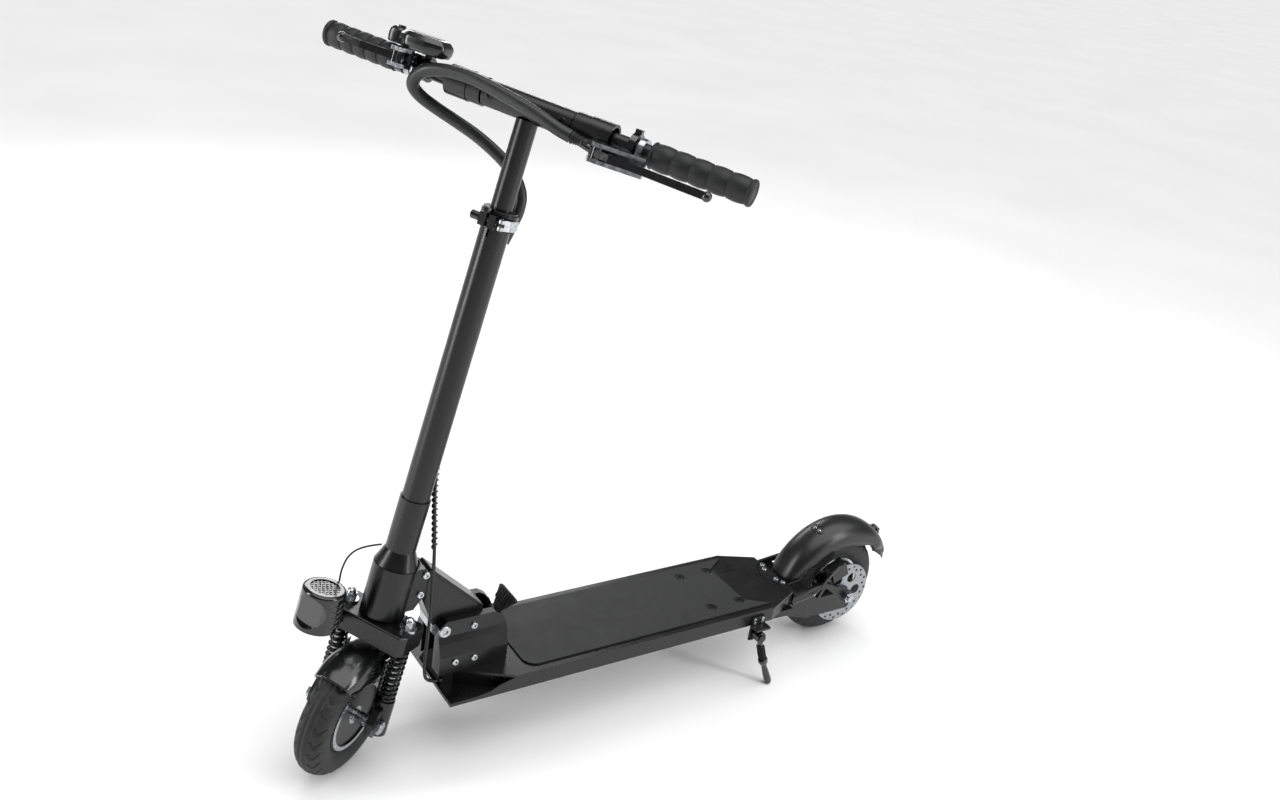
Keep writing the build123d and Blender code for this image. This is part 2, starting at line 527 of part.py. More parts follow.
def deck():
    plate = flat_plate(deck_outline(0), PLATE_Z, DECK_TOP)
    notch = rod_z(NOTCH_R, PLATE_Z - 40, DECK_TOP + 1, NOTCH_X, 0)
    plate -= notch
    panel = (154.0, 239.3, -38.3, 38.3)
    bolt_at = [(x, y) for x in (254.8, 314.4) for y in (48.5, -48.5)]
    mat = flat_plate(both([(684, DECK_W / 2 - 12), (TAIL_CORNER_X + 4, DECK_W / 2 - 12),
                           (panel[1] + 6, 50), (panel[1] + 6, 41)]), DECK_TOP, DECK_TOP + MAT_T)
    mat = fillet(mat.edges().filter_by(Axis.Z).group_by(Axis.X)[-1], MAT_CORNER)
    for x, y in bolt_at:
        plate -= rod_z(3 + FIT, PLATE_Z - 1, DECK_TOP + 1, x, y)
        mat -= rod_z(9, DECK_TOP - 1, DECK_TOP + MAT_T + 1, x, y)
    plate -= box(panel[0] + 14, panel[1] - 2, panel[2] + 2, panel[3] - 2, DECK_TOP - 2, DECK_TOP + 1)
    add("deck_plate", plate)
    add("deck_mat", mat)
    add("rear_panel", box(panel[0] + 14.2, panel[1] - 2.2, panel[2] + 2.2, panel[3] - 2.2,
                          DECK_TOP - 2, DECK_TOP - 0.4))
    screws = [Pos(x, y, DECK_TOP) * cap_screw(7.5, 2.2, 3, 8) for x, y in bolt_at]

    tray = flat_plate(deck_outline(2.8), DECK_BOTTOM, PLATE_Z)
    cavity = flat_plate(deck_outline(2.8 + TRAY_WALL + 1), DECK_BOTTOM + TRAY_WALL, PLATE_Z + 1)
    keep = rod_z(NOTCH_R + TRAY_WALL, DECK_BOTTOM - 1, PLATE_Z + 2, NOTCH_X, 0)
    tray = tray - (cavity - keep) - notch
    for x, y in bolt_at:
        boss = rod_z(6.5, DECK_BOTTOM + 1, PLATE_Z, x, y)
        tray += boss
        tray -= rod_z(3 + FIT, PLATE_Z - 8, PLATE_Z + 1, x, y)
    floor = DECK_BOTTOM + TRAY_WALL
    side_y = DECK_W / 2 - 2.8
    sole = flat_plate(both([(LIP_X, side_y), (NOSE_CORNER_X - 20, side_y)]), DECK_BOTTOM, floor)
    front_lip = box(LIP_X - TRAY_WALL, LIP_X, -side_y, side_y, DECK_BOTTOM, LIP_Z)
    tray += sole + front_lip
    wave = [(NOSE_CORNER_X - 20, DECK_BOTTOM), (LIP_X, DECK_BOTTOM), (LIP_X, LIP_Z), (768, LIP_Z + 1),
            (748, LIP_Z + 4), (734, LIP_Z + 11), (720, LIP_Z + 15), (NOSE_CORNER_X - 4, PLATE_Z),
            (NOSE_CORNER_X - 20, PLATE_Z)]
    for side in (1, -1):
        tray += side_plate(wave, side * (side_y - TRAY_WALL), side * side_y)
    add("deck_tray", tray)
    add("deck_screws", Compound(children=screws))
    nose_low = NOSE_X + 18
    slope = [(nose_low, floor), (nose_low, floor + 3), (NOSE_X + 2, DECK_TOP - 1)]
    back = [(NOSE_X + 0.05, DECK_TOP - 1), (NOSE_X + 0.05, PLATE_Z - 1),
            (NOSE_X - 2.7, PLATE_Z - 1), (NOSE_X - 2.7, floor)]
    nose = side_plate(slope + back, -NOSE_HALF + 1, NOSE_HALF - 1)
    add("nose_plate", nose)
    add("battery_pack", box(345, 660, -66, 66, floor, PLATE_Z - 1))
    add("controller_box", box(198, 235, -40, 40, floor, PLATE_Z - 2))
    port_x = 640.0
    port_z = DECK_BOTTOM + 12
    port = rod_y(9, -side_y - 2.5, -side_y, port_x, port_z)
    nodes["deck_tray"] = tray - rod_y(7 + FIT, -side_y - 1, -side_y + 8, port_x, port_z)
    port += rod_y(7, -side_y, -side_y + 3.4, port_x, port_z)
    add("charge_port", port)
    bushing = rod_x(5.5, NOSE_X + 4, NOSE_X + 18, 31, DECK_BOTTOM + 9)
    inside = side_plate([(NOSE_X - 3, floor - 1), (nose_low, floor - 1)] + slope[1:] + [(NOSE_X - 3, DECK_TOP - 1)],
                        -NOSE_HALF + 1, NOSE_HALF - 1)
    add("cable_bushing", bushing - inside)


# ---- rear end --------------------------------------------------------------------
def rear_end():
    outline = [(200, DECK_BOTTOM), (204, 100), (190, 93), (144, 91), (92, 74), (2, 73), (-14, 84),
               (-14, 107), (14, 119), (50, 136), (62, 141), (134, 134), (136, DECK_BOTTOM)]
    window = [(34, 112), (58, 130), (66, 112)]
    window_b = [(74, 112), (66, 131), (96, 128)]
    for side in (1, -1):
        y = side * STAY_Y
        plate = side_plate(outline, y - STAY_T / 2, y + STAY_T / 2)
        plate -= side_plate(window, y - STAY_T, y + STAY_T)
        plate -= side_plate(window_b, y - STAY_T, y + STAY_T)
        plate -= rod_y(6, y - 9, y + 9, 181, 102)
        plate -= rod_y(AXLE_R + FIT, y - 9, y + 9, 0, WHEEL_R)
        plate += box(142, 200, side * (STAY_Y + STAY_T / 2), side * (STAY_Y + 14),
                     DECK_BOTTOM - 3, DECK_BOTTOM)
        add("rear_stay_" + hand_side(side), plate)
    inner = STAY_Y - STAY_T / 2
    outer = STAY_Y + STAY_T / 2
    add("rear_axle", rod_y(AXLE_R, -outer - 13, outer + 13, 0, WHEEL_R))
    nuts = []
    spacers = []
    for side, start in ((1, ROTOR_Y), (-1, 28 + GAP)):
        nut = Pos(0, side * outer, WHEEL_R) * Rot(-90 * side, 0, 0) * extrude(RegularPolygon(10.5, 6), 8)
        nuts.append(nut - rod_y(AXLE_R + FIT, -90, 90, 0, WHEEL_R))
        spacer = rod_y(9, side * start, side * inner, 0, WHEEL_R)
        spacers.append(spacer - rod_y(AXLE_R + FIT, -90, 90, 0, WHEEL_R))
    add("rear_axle_nuts", Compound(children=nuts))
    add("rear_spacers", Compound(children=spacers))

    shell = Pos(0, 0, WHEEL_R) * fender_shell(133.0, 36.0, 34.0, 2.6, 12, 152)
    tail = Pos(0, 0, WHEEL_R) * spun([(133, -36), (133, 36), (130.4, 36), (130.4, -36)])
    tail &= side_plate([(-60, 210), (-125, 168), (-134, 130), (-128, 128), (-100, 150)], -15, 15)
    foot = box(124, 146, -12, 12, DECK_TOP, DECK_TOP + 2.4)
    add("rear_fender", shell + tail + (foot - rod_y(132, -20, 20, 0, WHEEL_R)))
    lug = Pos(0, 0, WHEEL_R) * Rot(0, 43, 0) * (rod_x(11, -139, -133.05) + rod_x(8, -143, -139))
    add("tail_reflector", lug)
    mount = flat_plate(both([(163.6, 0), (160, 16), (148, 33), (135, 40)]), PLATE_Z, DECK_TOP)
    mount &= rod_z(NOTCH_R - GAP, 0, 200, NOTCH_X, 0)
    cross = box(135, 140, -STAY_Y + STAY_T / 2, STAY_Y - STAY_T / 2, DECK_BOTTOM + 14, PLATE_Z)
    cross &= rod_z(NOTCH_R + 15, 0, 200, NOTCH_X - 20, 0) - box(138, 150, 40, 60, 0, 200)
    add("fender_mount", mount)
    add("cross_bar", cross)
    screws = [Pos(x, y, DECK_TOP) * cap_screw(4.6, 2.6, 2.4, 3.9)
              for x, y in ((146, 17), (146, -17), (140, 30), (140, -30))]
    for x, y in ((146, 17), (146, -17), (140, 30), (140, -30)):
        nodes["fender_mount"] -= rod_z(2.4 + FIT, PLATE_Z - 1, DECK_TOP + 1, x, y)
    add("fender_screws", Compound(children=screws))

    caliper_y = ROTOR_Y
    place = Pos(0, 0, WHEEL_R) * Rot(0, -65, 0)
    body = box(42, 72, caliper_y - 12, caliper_y + 7.9, -17, 17)
    body -= box(41, ROTOR_R + 1.5, caliper_y - 2.2, caliper_y + 2.2, -20, 20)
    add("brake_caliper", body, place)


# ---- side stand ------------------------------------------------------------------
def rod_between(radius, a, b):
    run = Vector(*b) - Vector(*a)
    return Plane(origin=a, z_dir=run) * Pos(0, 0, run.length / 2) * Cylinder(radius, run.length)


def side_stand():
    wall = DECK_W / 2 - 2.8
    face = wall + 4
    bracket = box(STAND_X - 13, STAND_X + 13, wall, face, 86, 132)
    bracket += rod_y(12, wall, face, STAND_X, STAND_Z)
    bracket += box(STAND_X - 15, STAND_X + 15, face, STAND_Y + 8, 114, 118)
    bracket -= rod_y(5 + FIT, wall - 1, face + 1, STAND_X, STAND_Z)
    screws = []
    for x, z in ((-8, 128), (8, 128), (-8, 121.5), (8, 121.5)):
        bracket -= rod_y(2 + FIT, wall - 1, face + 1, STAND_X + x, z)
        screws.append(Pos(STAND_X + x, face, z) * Rot(-90, 0, 0) * cap_screw(2.9, 1.8, 2, 3.9))
    add("stand_bracket", bracket)
    add("stand_screws", Compound(children=screws))
    hub_end = STAND_Y + 8
    pin = rod_y(5, wall + 0.1, hub_end + 1, STAND_X, STAND_Z)
    pin += rod_y(7, hub_end + GAP, hub_end + 2, STAND_X, STAND_Z)
    add("stand_pin", pin)
    hip = (STAND_X, (face + hub_end) / 2, STAND_Z)
    knee = (STAND_X - 20, STAND_Y + 7, 34)
    foot = (FOOT_X, FOOT_Y, 6)
    leg = rod_y(10, face + GAP, hub_end, STAND_X, STAND_Z)
    leg += rod_between(5, hip, knee) + Pos(*knee) * Sphere(6) + rod_between(5.5, knee, foot)
    leg += Pos(*foot) * Sphere(6)
    leg -= rod_y(5 + FIT, wall, hub_end + 2, STAND_X, STAND_Z)
    add("stand_leg", leg)
    run = Vector(*knee) - Vector(*hip)
    coil_a = Vector(*hip) + run * 0.32
    coil_b = Vector(*hip) + run * 0.62
    coil = rod_between(8.5, tuple(coil_a), tuple(coil_b)) - rod_between(5 + FIT, hip, knee)
    add("stand_spring", coil)


# ---- handlebar -------------------------------------------------------------------
def bar_middle():
    shoulder = TEE_HALF - TEE_CHAMFER
    outline = [(0, -TEE_HALF), (TEE_R - TEE_FACE, -TEE_HALF), (TEE_R, -shoulder)]
    outline += [(TEE_R, shoulder), (TEE_R - TEE_FACE, TEE_HALF), (0, TEE_HALF)]
    tube = spun(outline, 0, BAR_S) - rod_y(TEE_R - 3, -34, 34, 0, BAR_S)
    for side in (1, -1):
        slot = TONGUE_T / 2 + GAP
        tube -= box(-slot, slot, side * 38, side * (TEE_HALF + 1), BAR_S - 20, BAR_S + 12)
        tube -= rod_x(ARM_PIN_R + FIT, -20, 20, side * ARM_PIVOT_Y, BAR_S)
    add("bar_middle", tube, STEERED)
    pins = []
    for side in (1, -1):
        seat = TEE_R - 2.5
        pin = rod_x(ARM_PIN_R, -TEE_R + 2, TEE_R - 1, side * ARM_PIVOT_Y, BAR_S)
        head = Pos(seat, side * ARM_PIVOT_Y, BAR_S) * Rot(0, 90, 0) * cap_screw(ARM_HEAD_R, 3.2, 3, 2)
        pins.append(pin + head)
        bore = rod_x(ARM_HEAD_R + FIT, seat, TEE_R + 2, side * ARM_PIVOT_Y, BAR_S)
        nodes["bar_middle"] -= STEERED * bore
    add("arm_pins", Compound(children=pins), STEERED)


def bar_arm(side):
    name = hand_side(side)
    end = GRIP_END - 2
    arm = rod_y(ARM_R, side * (TEE_HALF + TONGUE), side * end, 0, BAR_S)
    flat, eye = TONGUE_T / 2, 9.5
    arm += box(-flat, flat, side * ARM_PIVOT_Y, side * (TEE_HALF + TONGUE + 1), BAR_S - eye, BAR_S + eye)
    arm += rod_x(eye, -flat, flat, side * ARM_PIVOT_Y, BAR_S)
    arm -= rod_x(ARM_PIN_R + FIT, -10, 10, side * ARM_PIVOT_Y, BAR_S)
    add("bar_arm_" + name, arm, STEERED)
    collar = rod_y(COLLAR_R - 1, side * (TEE_HALF + GAP), side * 87, 0, BAR_S)
    collar += rod_y(COLLAR_R, side * 87, side * COLLAR_END, 0, BAR_S)
    collar -= rod_y(ARM_R + FIT, side * 60, side * (COLLAR_END + 1), 0, BAR_S)
    collar -= rod_y(ARM_R + 5, side * (COLLAR_END - 10), side * (COLLAR_END + 1), 0, BAR_S)
    add("lock_collar_" + name, collar, STEERED)
    start = GRIP_START if side > 0 else 200.0
    grip = rod_y(GRIP_R, side * start, side * GRIP_END, 0, BAR_S)
    grip = fillet(grip.edges().group_by(Axis.Y)[0] + grip.edges().group_by(Axis.Y)[-1], 3)
    for k in range(5):
        y = side * (start + 18 + k * (GRIP_END - start - 30) / 4)
        grip -= rod_y(GRIP_R + 1, y - 0.7, y + 0.7, 0, BAR_S) - rod_y(GRIP_R - 1.2, y - 2, y + 2, 0, BAR_S)
    grip -= rod_y(ARM_R, side * (start - 1), side * end, 0, BAR_S)
    add("grip_" + name, grip, STEERED)


def ring_clamp(y0, y1, radius=16.0):
    return rod_y(radius, y0, y1, 0, BAR_S) - rod_y(ARM_R, y0 - 1, y1 + 1, 0, BAR_S)


def brake_lever(side):
    name = hand_side(side)
    clamp_y = 160.0 if side > 0 else 179.0
    pivot_y = 118.0 if side > 0 else 180.0
    tip_y = 272.0 if side > 0 else 254.0
    pivot_f = 42.0
    high = BAR_S - 4.0 if side > 0 else BAR_S + 19.0
    low = high - PERCH_H
    perch = ring_clamp(side * clamp_y - 4, side * clamp_y + 4)
    near = min(pivot_y - 14, clamp_y - 6)
    far = clamp_y + 18 if side > 0 else pivot_y + 10
    outline = [(pivot_f + 7, side * (pivot_y - 6)), (pivot_f + 7, side * (pivot_y + 6)),
               (30, side * far), (24, side * far), (24, side * near), (34, side * near)]
    cheeks = flat_plate(outline, high - 5, high) + flat_plate(outline, low, low + 5)
    web = box(24, 29, side * near, side * far, low, high)
    arm_s = high - 6 if side > 0 else BAR_S
    neck_part = box(12, 27, side * clamp_y - 4, side * clamp_y + 4, arm_s - 4, arm_s + 4)
    perch = perch + cheeks + web + neck_part
    if side > 0:
        perch += rod_between(5, SLEEVE_END, (29, near + 2, low + 12))
    pin = rod_z(LEVER_PIN_R, low + 0.5, high, pivot_f, side * pivot_y)
    bore = rod_z(LEVER_PIN_R + FIT, low - 1, high + 1, pivot_f, side * pivot_y)
    perch -= bore
    add("brake_perch_" + name, perch, STEERED)
    add("lever_pin_" + name, pin, STEERED)
    blade = flat_plate([(36, side * (pivot_y - 5)), (46, side * (pivot_y - 8)), (56, side * (pivot_y + 22)),
                        (60, side * (tip_y - 30)), (60, side * tip_y), (52, side * tip_y),
                        (50, side * (pivot_y + 30)), (36, side * (pivot_y + 8))], low + 8, low + 17)
    hub = rod_z(7, low + 5 + GAP, high - 5 - GAP, pivot_f, side * pivot_y)
    ball = Pos(56, side * tip_y, low + 12.5) * Sphere(6.5)
    lever = blade + hub + ball - bore
    add("brake_lever_" + name, lever, STEERED)


def controls():
    add("bell_band", ring_clamp(BAND_Y - 5, BAND_Y + 4, 19) + box(-4, 4, BAND_Y - 5, BAND_Y + 4,
        BAR_S + 17, BAR_S + 24), STEERED)
    case_y = -158.0
    clip = ring_clamp(-160, -150)
    clip += box(-6, 8, -160, -150, BAR_S + 13, BAR_S + 20)
    corner = 12.0
    f0, f1, half_y = -14.0, 42.0, 34.0
    outline = [(f0 + corner, case_y - half_y + 8), (f1 - corner, case_y - half_y + 8), (f1, case_y - 8),
               (f1, case_y + 8), (f1 - corner, case_y + half_y), (f0 + corner, case_y + half_y),
               (f0, case_y + 8), (f0, case_y - 8)]
    case = flat_plate(outline, BAR_S + 20, BAR_S + 42)
    case = fillet(case.edges().filter_by(Axis.Z), 4)
    window = (-2, 30, case_y - 18, case_y + 22)
    case -= box(*window, BAR_S + 40.5, BAR_S + 43)
    add("display_case", case + clip, STEERED)
    add("display_window", box(window[0] + 0.2, window[1] - 0.2, window[2] + 0.2, window[3] - 0.2,
                              BAR_S + 40.5, BAR_S + 41.8), STEERED)
    switch = ring_clamp(-198.5, -186.5) + box(-4, 8, -198, -187, BAR_S + 12, BAR_S + 19)
    body = box(-12, 18, -216, -194.5, BAR_S + 19, BAR_S + 40)
    switch += fillet(body.edges().filter_by(Axis.Z), 4)
    switch -= rod_z(5 + FIT, BAR_S + 36, BAR_S + 41, 3, -205)
    add("switch_box", switch, STEERED)
    add("horn_button", rod_z(5, BAR_S + 38.2, BAR_S + 42, 3, -205), STEERED)
    throttle = rod_y(15, -173, -165, 0, BAR_S) - rod_y(ARM_R, -174, -164, 0, BAR_S)
    throttle -= rod_y(16, -174.5, -168.8, 0, BAR_S) - rod_y(13, -175, -168, 0, BAR_S)
    add("throttle_body", throttle, STEERED)
    thumb = rod_y(16, -173, -169, 0, BAR_S) - rod_y(13 + FIT, -174, -168, 0, BAR_S)
    tail = Pos(0, 0, BAR_S) * Rot(0, 35, 0) * box(-40, -14, -173, -169, -3, 3)
    pad = Pos(0, 0, BAR_S) * Rot(0, 35, 0) * box(-42, -28, -180, -169, -3, 1)
    thumb += tail - rod_y(15, -174, -168, 0, BAR_S) + pad
    add("throttle_lever", thumb, STEERED)


# ---- cords -----------------------------------------------------------------------
def cord(name, points, radius, place=None):
    """Round cord along straight runs joined by arcs as large as the runs allow."""
    points = [Vector(*p) for p in points]
    runs = [b - a for a, b in zip(points, points[1:])]
    radii = []
    for before, after in zip(runs, runs[1:]):
        turn = radians(before.get_angle(after))
        radii.append(0.45 * min(before.length, after.length) / tan(turn / 2))
    path = FilletPolyline(*points, radius=radii)
    start = Plane(origin=path @ 0, z_dir=path % 0)
    tube = sweep(start * Circle(radius), path=path)
    print(name, "length", round(path.length, 1), "volume over section by length",
          round(tube.volume / (3.14159265 * radius ** 2 * path.length), 4),
          "radii", [round(r) for r in radii])
    add(name, tube, place)


def on_stem(f, y, s):
    """Place on the steered front end, given in the model's own frame."""
    return tuple((STEERED * Pos(f, y, s)).position)


def cords():
    cord("sheath_left", [(31, 76, 882.5), (33, 62, 884.5), (34, 44, 889), (34, 14, 896), (33, -20, 900.5)],
         SHEATH_R, STEERED)
    cord("sheath_right", [(33, -20, 900.5), (32, -58, 906), (31, -96, 906), (31, -128, 901),
                          (30, -150, 890),
                          (24, -160, 872), (12, -152, 860), (-2, -132, 851), (-14, -102, 842),
                          (-24, -68, 832), (-30, -45, 821)], SHEATH_R, STEERED)
    cord("sheath_down", [(-30, -45, 821), (-36, -22, 810), (-37, 4, 784), (-37, 8, 762), (-36, 5, 740),
                         (-30, 2, 714)], SHEATH_R, STEERED)
    cord("main_cable", [on_stem(-29.7, 1.9, 713), on_stem(-26, 0, 670), on_stem(-24.5, 0, 612),
                        on_stem(-25.5, 0, 554), on_stem(-24.5, 0, 496), on_stem(-25.5, 0, 438),
                        (826.5, -8, 458), (829, 6, 404), (832, 22, 354), (834, 31, 300), (835, 33, 240),
                        (836, 33, 182), (836, 32, 146), (829, 31, 127), (811.5, 31, 123.4)], 2.6)
    cord("lamp_wire", [(26, -17, 262), (40, -34, 256), (44, -52, 236), (39, -60, 206), (34, -60, 178),
                       (36, -58, 160), (48, -57, 152)], 1.4, STEERED)
    cord("rear_brake_cable", [(142, 66, 121), (112, 67, 124), (84, 66, 134), (62, 62, 152), (38, 56, 164),
                              (26, 50, 166)], 2.0)


# ---- build -----------------------------------------------------------------------
rear_wheel()
front_wheel()
fork()
stem()
lamp()
neck()
fold_housing()
latch_pedal()
deck()
rear_end()
side_stand()
bar_middle()
for hand in (1, -1):
    bar_arm(hand)
    brake_lever(hand)
controls()
cords()

# Small pieces that belong together share one node, each still a solid of its own.
GROUPS = {
    "rear_rim": ("rear_rim", "rear_bearings"),
    "hub_motor_shell": ("hub_motor_shell", "hub_bearings", "rim_rings"),
    "stanchions": ("stanchions", "crown_nuts"),
    "fork_springs": ("fork_spring_left", "fork_spring_right"),
    "front_axle": ("front_axle", "front_axle_nuts", "front_spacers", "motor_stator"),
    "front_fender": ("front_fender", "fender_stays"),
    "rear_axle": ("rear_axle", "rear_axle_nuts", "rear_spacers"),
    "frame_screws": ("deck_screws", "housing_screws", "fender_screws", "stand_screws"),
    "clamp_bolt": ("clamp_bolt", "clamp_knob"),
    "lamp_housing": ("lamp_housing", "horn_grille", "lamp_bracket"),
    "brake_perch_left": ("brake_perch_left", "lever_pin_left", "bell_band"),
    "brake_perch_right": ("brake_perch_right", "lever_pin_right"),
    "fold_pins": ("fold_pin", "pedal_pin"),
    "head_fittings": ("head_bolts", "headset_bearings"),
    "nose_plate": ("nose_plate", "cable_bushing", "charge_port"),
    "rear_frame": ("rear_stay_left", "rear_stay_right", "cross_bar", "fender_mount"),
    "deck_mat": ("deck_mat", "rear_panel"),
    "neck_box": ("neck_box", "neck_rail"),
    "stand_bracket": ("stand_bracket", "stand_pin"),
    "stand_leg": ("stand_leg", "stand_spring"),
    "bar_middle": ("bar_middle", "arm_pins"),
    "switch_box": ("switch_box", "throttle_body"),
    "display_case": ("display_case", "display_window"),
    "rear_fender": ("rear_fender", "tail_reflector"),
}
for group, members in GROUPS.items():
    solids = [solid for member in members for solid in nodes.pop(member).solids()]
    nodes[group] = Compound(children=solids)

boxes = [shape.bounding_box() for shape in nodes.values()]
SHIFT_X = -(min(b.min.X for b in boxes) + max(b.max.X for b in boxes)) / 2
os.makedirs("parts", exist_ok=True)
for name, shape in nodes.items():
    export_step(Pos(SHIFT_X, 0, 0) * shape, "parts/" + name + ".step")
print("shift along x", round(SHIFT_X, 3), "nodes", len(nodes))
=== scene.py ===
import math

import bmesh
import bpy
from mathutils import Matrix, Vector


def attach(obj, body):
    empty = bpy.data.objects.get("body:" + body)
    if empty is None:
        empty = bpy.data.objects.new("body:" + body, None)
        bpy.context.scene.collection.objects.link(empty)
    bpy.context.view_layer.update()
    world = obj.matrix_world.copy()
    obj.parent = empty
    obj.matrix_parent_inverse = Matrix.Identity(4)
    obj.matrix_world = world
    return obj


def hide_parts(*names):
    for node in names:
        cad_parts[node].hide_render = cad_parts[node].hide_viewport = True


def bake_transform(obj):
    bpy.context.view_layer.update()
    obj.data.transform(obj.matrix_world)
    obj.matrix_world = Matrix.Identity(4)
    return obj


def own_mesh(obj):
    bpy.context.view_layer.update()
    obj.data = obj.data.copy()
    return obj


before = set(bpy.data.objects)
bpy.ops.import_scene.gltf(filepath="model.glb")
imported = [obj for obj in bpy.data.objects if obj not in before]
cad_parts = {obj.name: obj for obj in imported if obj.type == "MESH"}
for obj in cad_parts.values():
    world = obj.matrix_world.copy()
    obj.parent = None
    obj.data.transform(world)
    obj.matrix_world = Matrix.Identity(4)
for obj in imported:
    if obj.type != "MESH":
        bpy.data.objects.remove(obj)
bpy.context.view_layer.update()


# The point of view: standing in front of the scooter's left side, a little above the
# handlebar, with a short telephoto lens.
camera_data = bpy.data.cameras.new("camera")
camera_data.lens = 34.54
camera_data.sensor_width = 36.0
camera = bpy.data.objects.new("camera", camera_data)
bpy.context.scene.collection.objects.link(camera)
bpy.context.scene.camera = camera
looking = Vector((-0.54725, -0.73069, -0.40817)).normalized()
level_right = Vector((-0.8004, 0.5995, 0.0)).normalized()
level_up = level_right.cross(looking)
roll = math.radians(9.3)
camera_right = level_right * math.cos(roll) + level_up * math.sin(roll)
camera_up = camera_right.cross(looking)
camera.matrix_world = Matrix.Translation((1.06517, 1.36199, 1.29781)) @ Matrix(
    (camera_right, camera_up, -looking)
).transposed().to_4x4()


# The steering group leans back and stands turned to the left. Everything on it is set out
# from the foot of its axis: ahead across it, out to the left side, and up along it.
HEAD = Vector((0.472018, 0.0, 0.10125))
AHEAD = Vector((0.812061, 0.558324, 0.169796)).normalized()
UPWARD = Vector((-0.204667, 0.0, 0.978832)).normalized()
LEFT = UPWARD.cross(AHEAD)
ROW_SHIFT = 454.239


def on_stem(ahead, left, up):
    """A point on the steering group, from millimetres along its own three directions."""
    return HEAD + (AHEAD * ahead + LEFT * left + UPWARD * up) / 1000


def on_deck(x, y, z):
    """A point on the deck, from millimetres ahead of the rear axle, left and up."""
    return Vector((x - ROW_SHIFT, y, z)) / 1000


def from_stem(point):
    """A point in the row frame as millimetres ahead, left and up on the steering group."""
    away = (Vector(point) - HEAD) * 1000
    return away.dot(AHEAD), away.dot(LEFT), away.dot(UPWARD)


def tint(code):
    """An sRGB hex colour as the linear colour a shader takes."""
    parts = [int(code[i : i + 2], 16) / 255 for i in (0, 2, 4)]
    return [p / 12.92 if p <= 0.04045 else ((p + 0.055) / 1.055) ** 2.4 for p in parts] + [1.0]


def add_node(material, kind, inputs=None, **settings):
    """Adds one shader node; inputs gives each socket a value, or the output that feeds it."""
    made = material.node_tree.nodes.new(kind)
    for key, value in settings.items():
        setattr(made, key, value)
    for key, value in (inputs or {}).items():
        if isinstance(value, bpy.types.NodeSocket):
            material.node_tree.links.new(value, made.inputs[key])
        else:
            made.inputs[key].default_value = value
    return made


def new_material(name):
    """An empty node material."""
    material = bpy.data.materials.new(name)
    material.use_nodes = True
    material.node_tree.nodes.clear()
    return material


def finish_material(material, inputs):
    """Gives a material its one shader, set and fed by inputs."""
    shader = add_node(material, "ShaderNodeBsdfPrincipled", inputs)
    add_node(material, "ShaderNodeOutputMaterial", {"Surface": shader.outputs[0]})


def shades(material, factor, stops):
    """A ramp from one colour to the next, each given with its place along the factor."""
    ramp = add_node(material, "ShaderNodeValToRGB", {"Fac": factor})
    ramp.color_ramp.elements[0].position = stops[0][0]
    ramp.color_ramp.elements[0].color = stops[0][1]
    ramp.color_ramp.elements[1].position = stops[-1][0]
    ramp.color_ramp.elements[1].color = stops[-1][1]
    for place, colour in stops[1:-1]:
        ramp.color_ramp.elements.new(place).color = colour
    return ramp.outputs["Color"]


def grey(level):
    return [level, level, level, 1.0]


def place(piece, body, slot, *nodes):
    """Puts a finished piece on its body, in place of the CAD nodes that it stands for."""
    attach(piece, body)
    if nodes:
        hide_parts(*nodes)
    return piece


def new_piece(name, mesh, *materials):
    """An object in the scene from a mesh, which takes its name."""
    mesh.name = name
    piece = bpy.data.objects.new(name, mesh)
    bpy.context.scene.collection.objects.link(piece)
    for material in materials:
        mesh.materials.append(material)
    return piece


# Cable jackets: PVC-covered control cables, and a soft vinyl sleeve that gathers them at
# the bar. Extruded, so smooth along, with a faint waxy unevenness and a mid gloss.
# The outer cases of the wires are ribbed at about 1.5 mm by the coiled steel inside.
vinyl = new_material("extruded_black_vinyl")
place_on = add_node(vinyl, "ShaderNodeTexCoord").outputs["Object"]
waxy = add_node(vinyl, "ShaderNodeTexNoise", {"Vector": place_on, "Scale": 1 / 0.012, "Detail": 4.0})
fine = add_node(vinyl, "ShaderNodeTexNoise", {"Vector": place_on, "Scale": 1 / 0.0012, "Detail": 2.0})
finish_material(vinyl, {
    "Base Color": shades(vinyl, waxy.outputs["Fac"], [(0.3, tint("121315")), (0.75, tint("1e1f21"))]),
    "Roughness": shades(vinyl, waxy.outputs["Fac"], [(0.3, grey(0.34)), (0.7, grey(0.48))]),
    "IOR": 1.5,
    "Coat Weight": 0.12,
    "Coat Roughness": 0.3,
    "Normal": add_node(vinyl, "ShaderNodeBump", {
        "Height": fine.outputs["Fac"], "Strength": 0.12, "Distance": 0.0004}).outputs["Normal"],
})


def spline_curve(name, points):
    """One open, smooth curve whose control points are the route's."""
    data = bpy.data.curves.new(name, "CURVE")
    data.dimensions = "3D"
    data.resolution_u = 12
    spline = data.splines.new("NURBS")
    spline.points.add(len(points) - 1)
    for point, at in zip(spline.points, points):
        point.co = (*at, 1.0)
    spline.order_u = 3
    spline.use_endpoint_u = True
    return data


def cable_mesh(name, points, radius, sides=8):
    """A tube along the smooth curve, as a mesh."""
    data = spline_curve(name + "_line", points)
    carrier = bpy.data.objects.new(name + "_line", data)
    bpy.context.scene.collection.objects.link(carrier)
    bare = bpy.data.meshes.new_from_object(carrier)
    route = [v.co.copy() for v in bare.vertices]
    data.bevel_depth = radius
    data.bevel_resolution = sides
    data.use_fill_caps = True
    mesh = bpy.data.meshes.new_from_object(carrier)
    bpy.data.objects.remove(carrier)
    mesh.materials.clear()
    for face in mesh.polygons:
        face.use_smooth = True
    return mesh, route


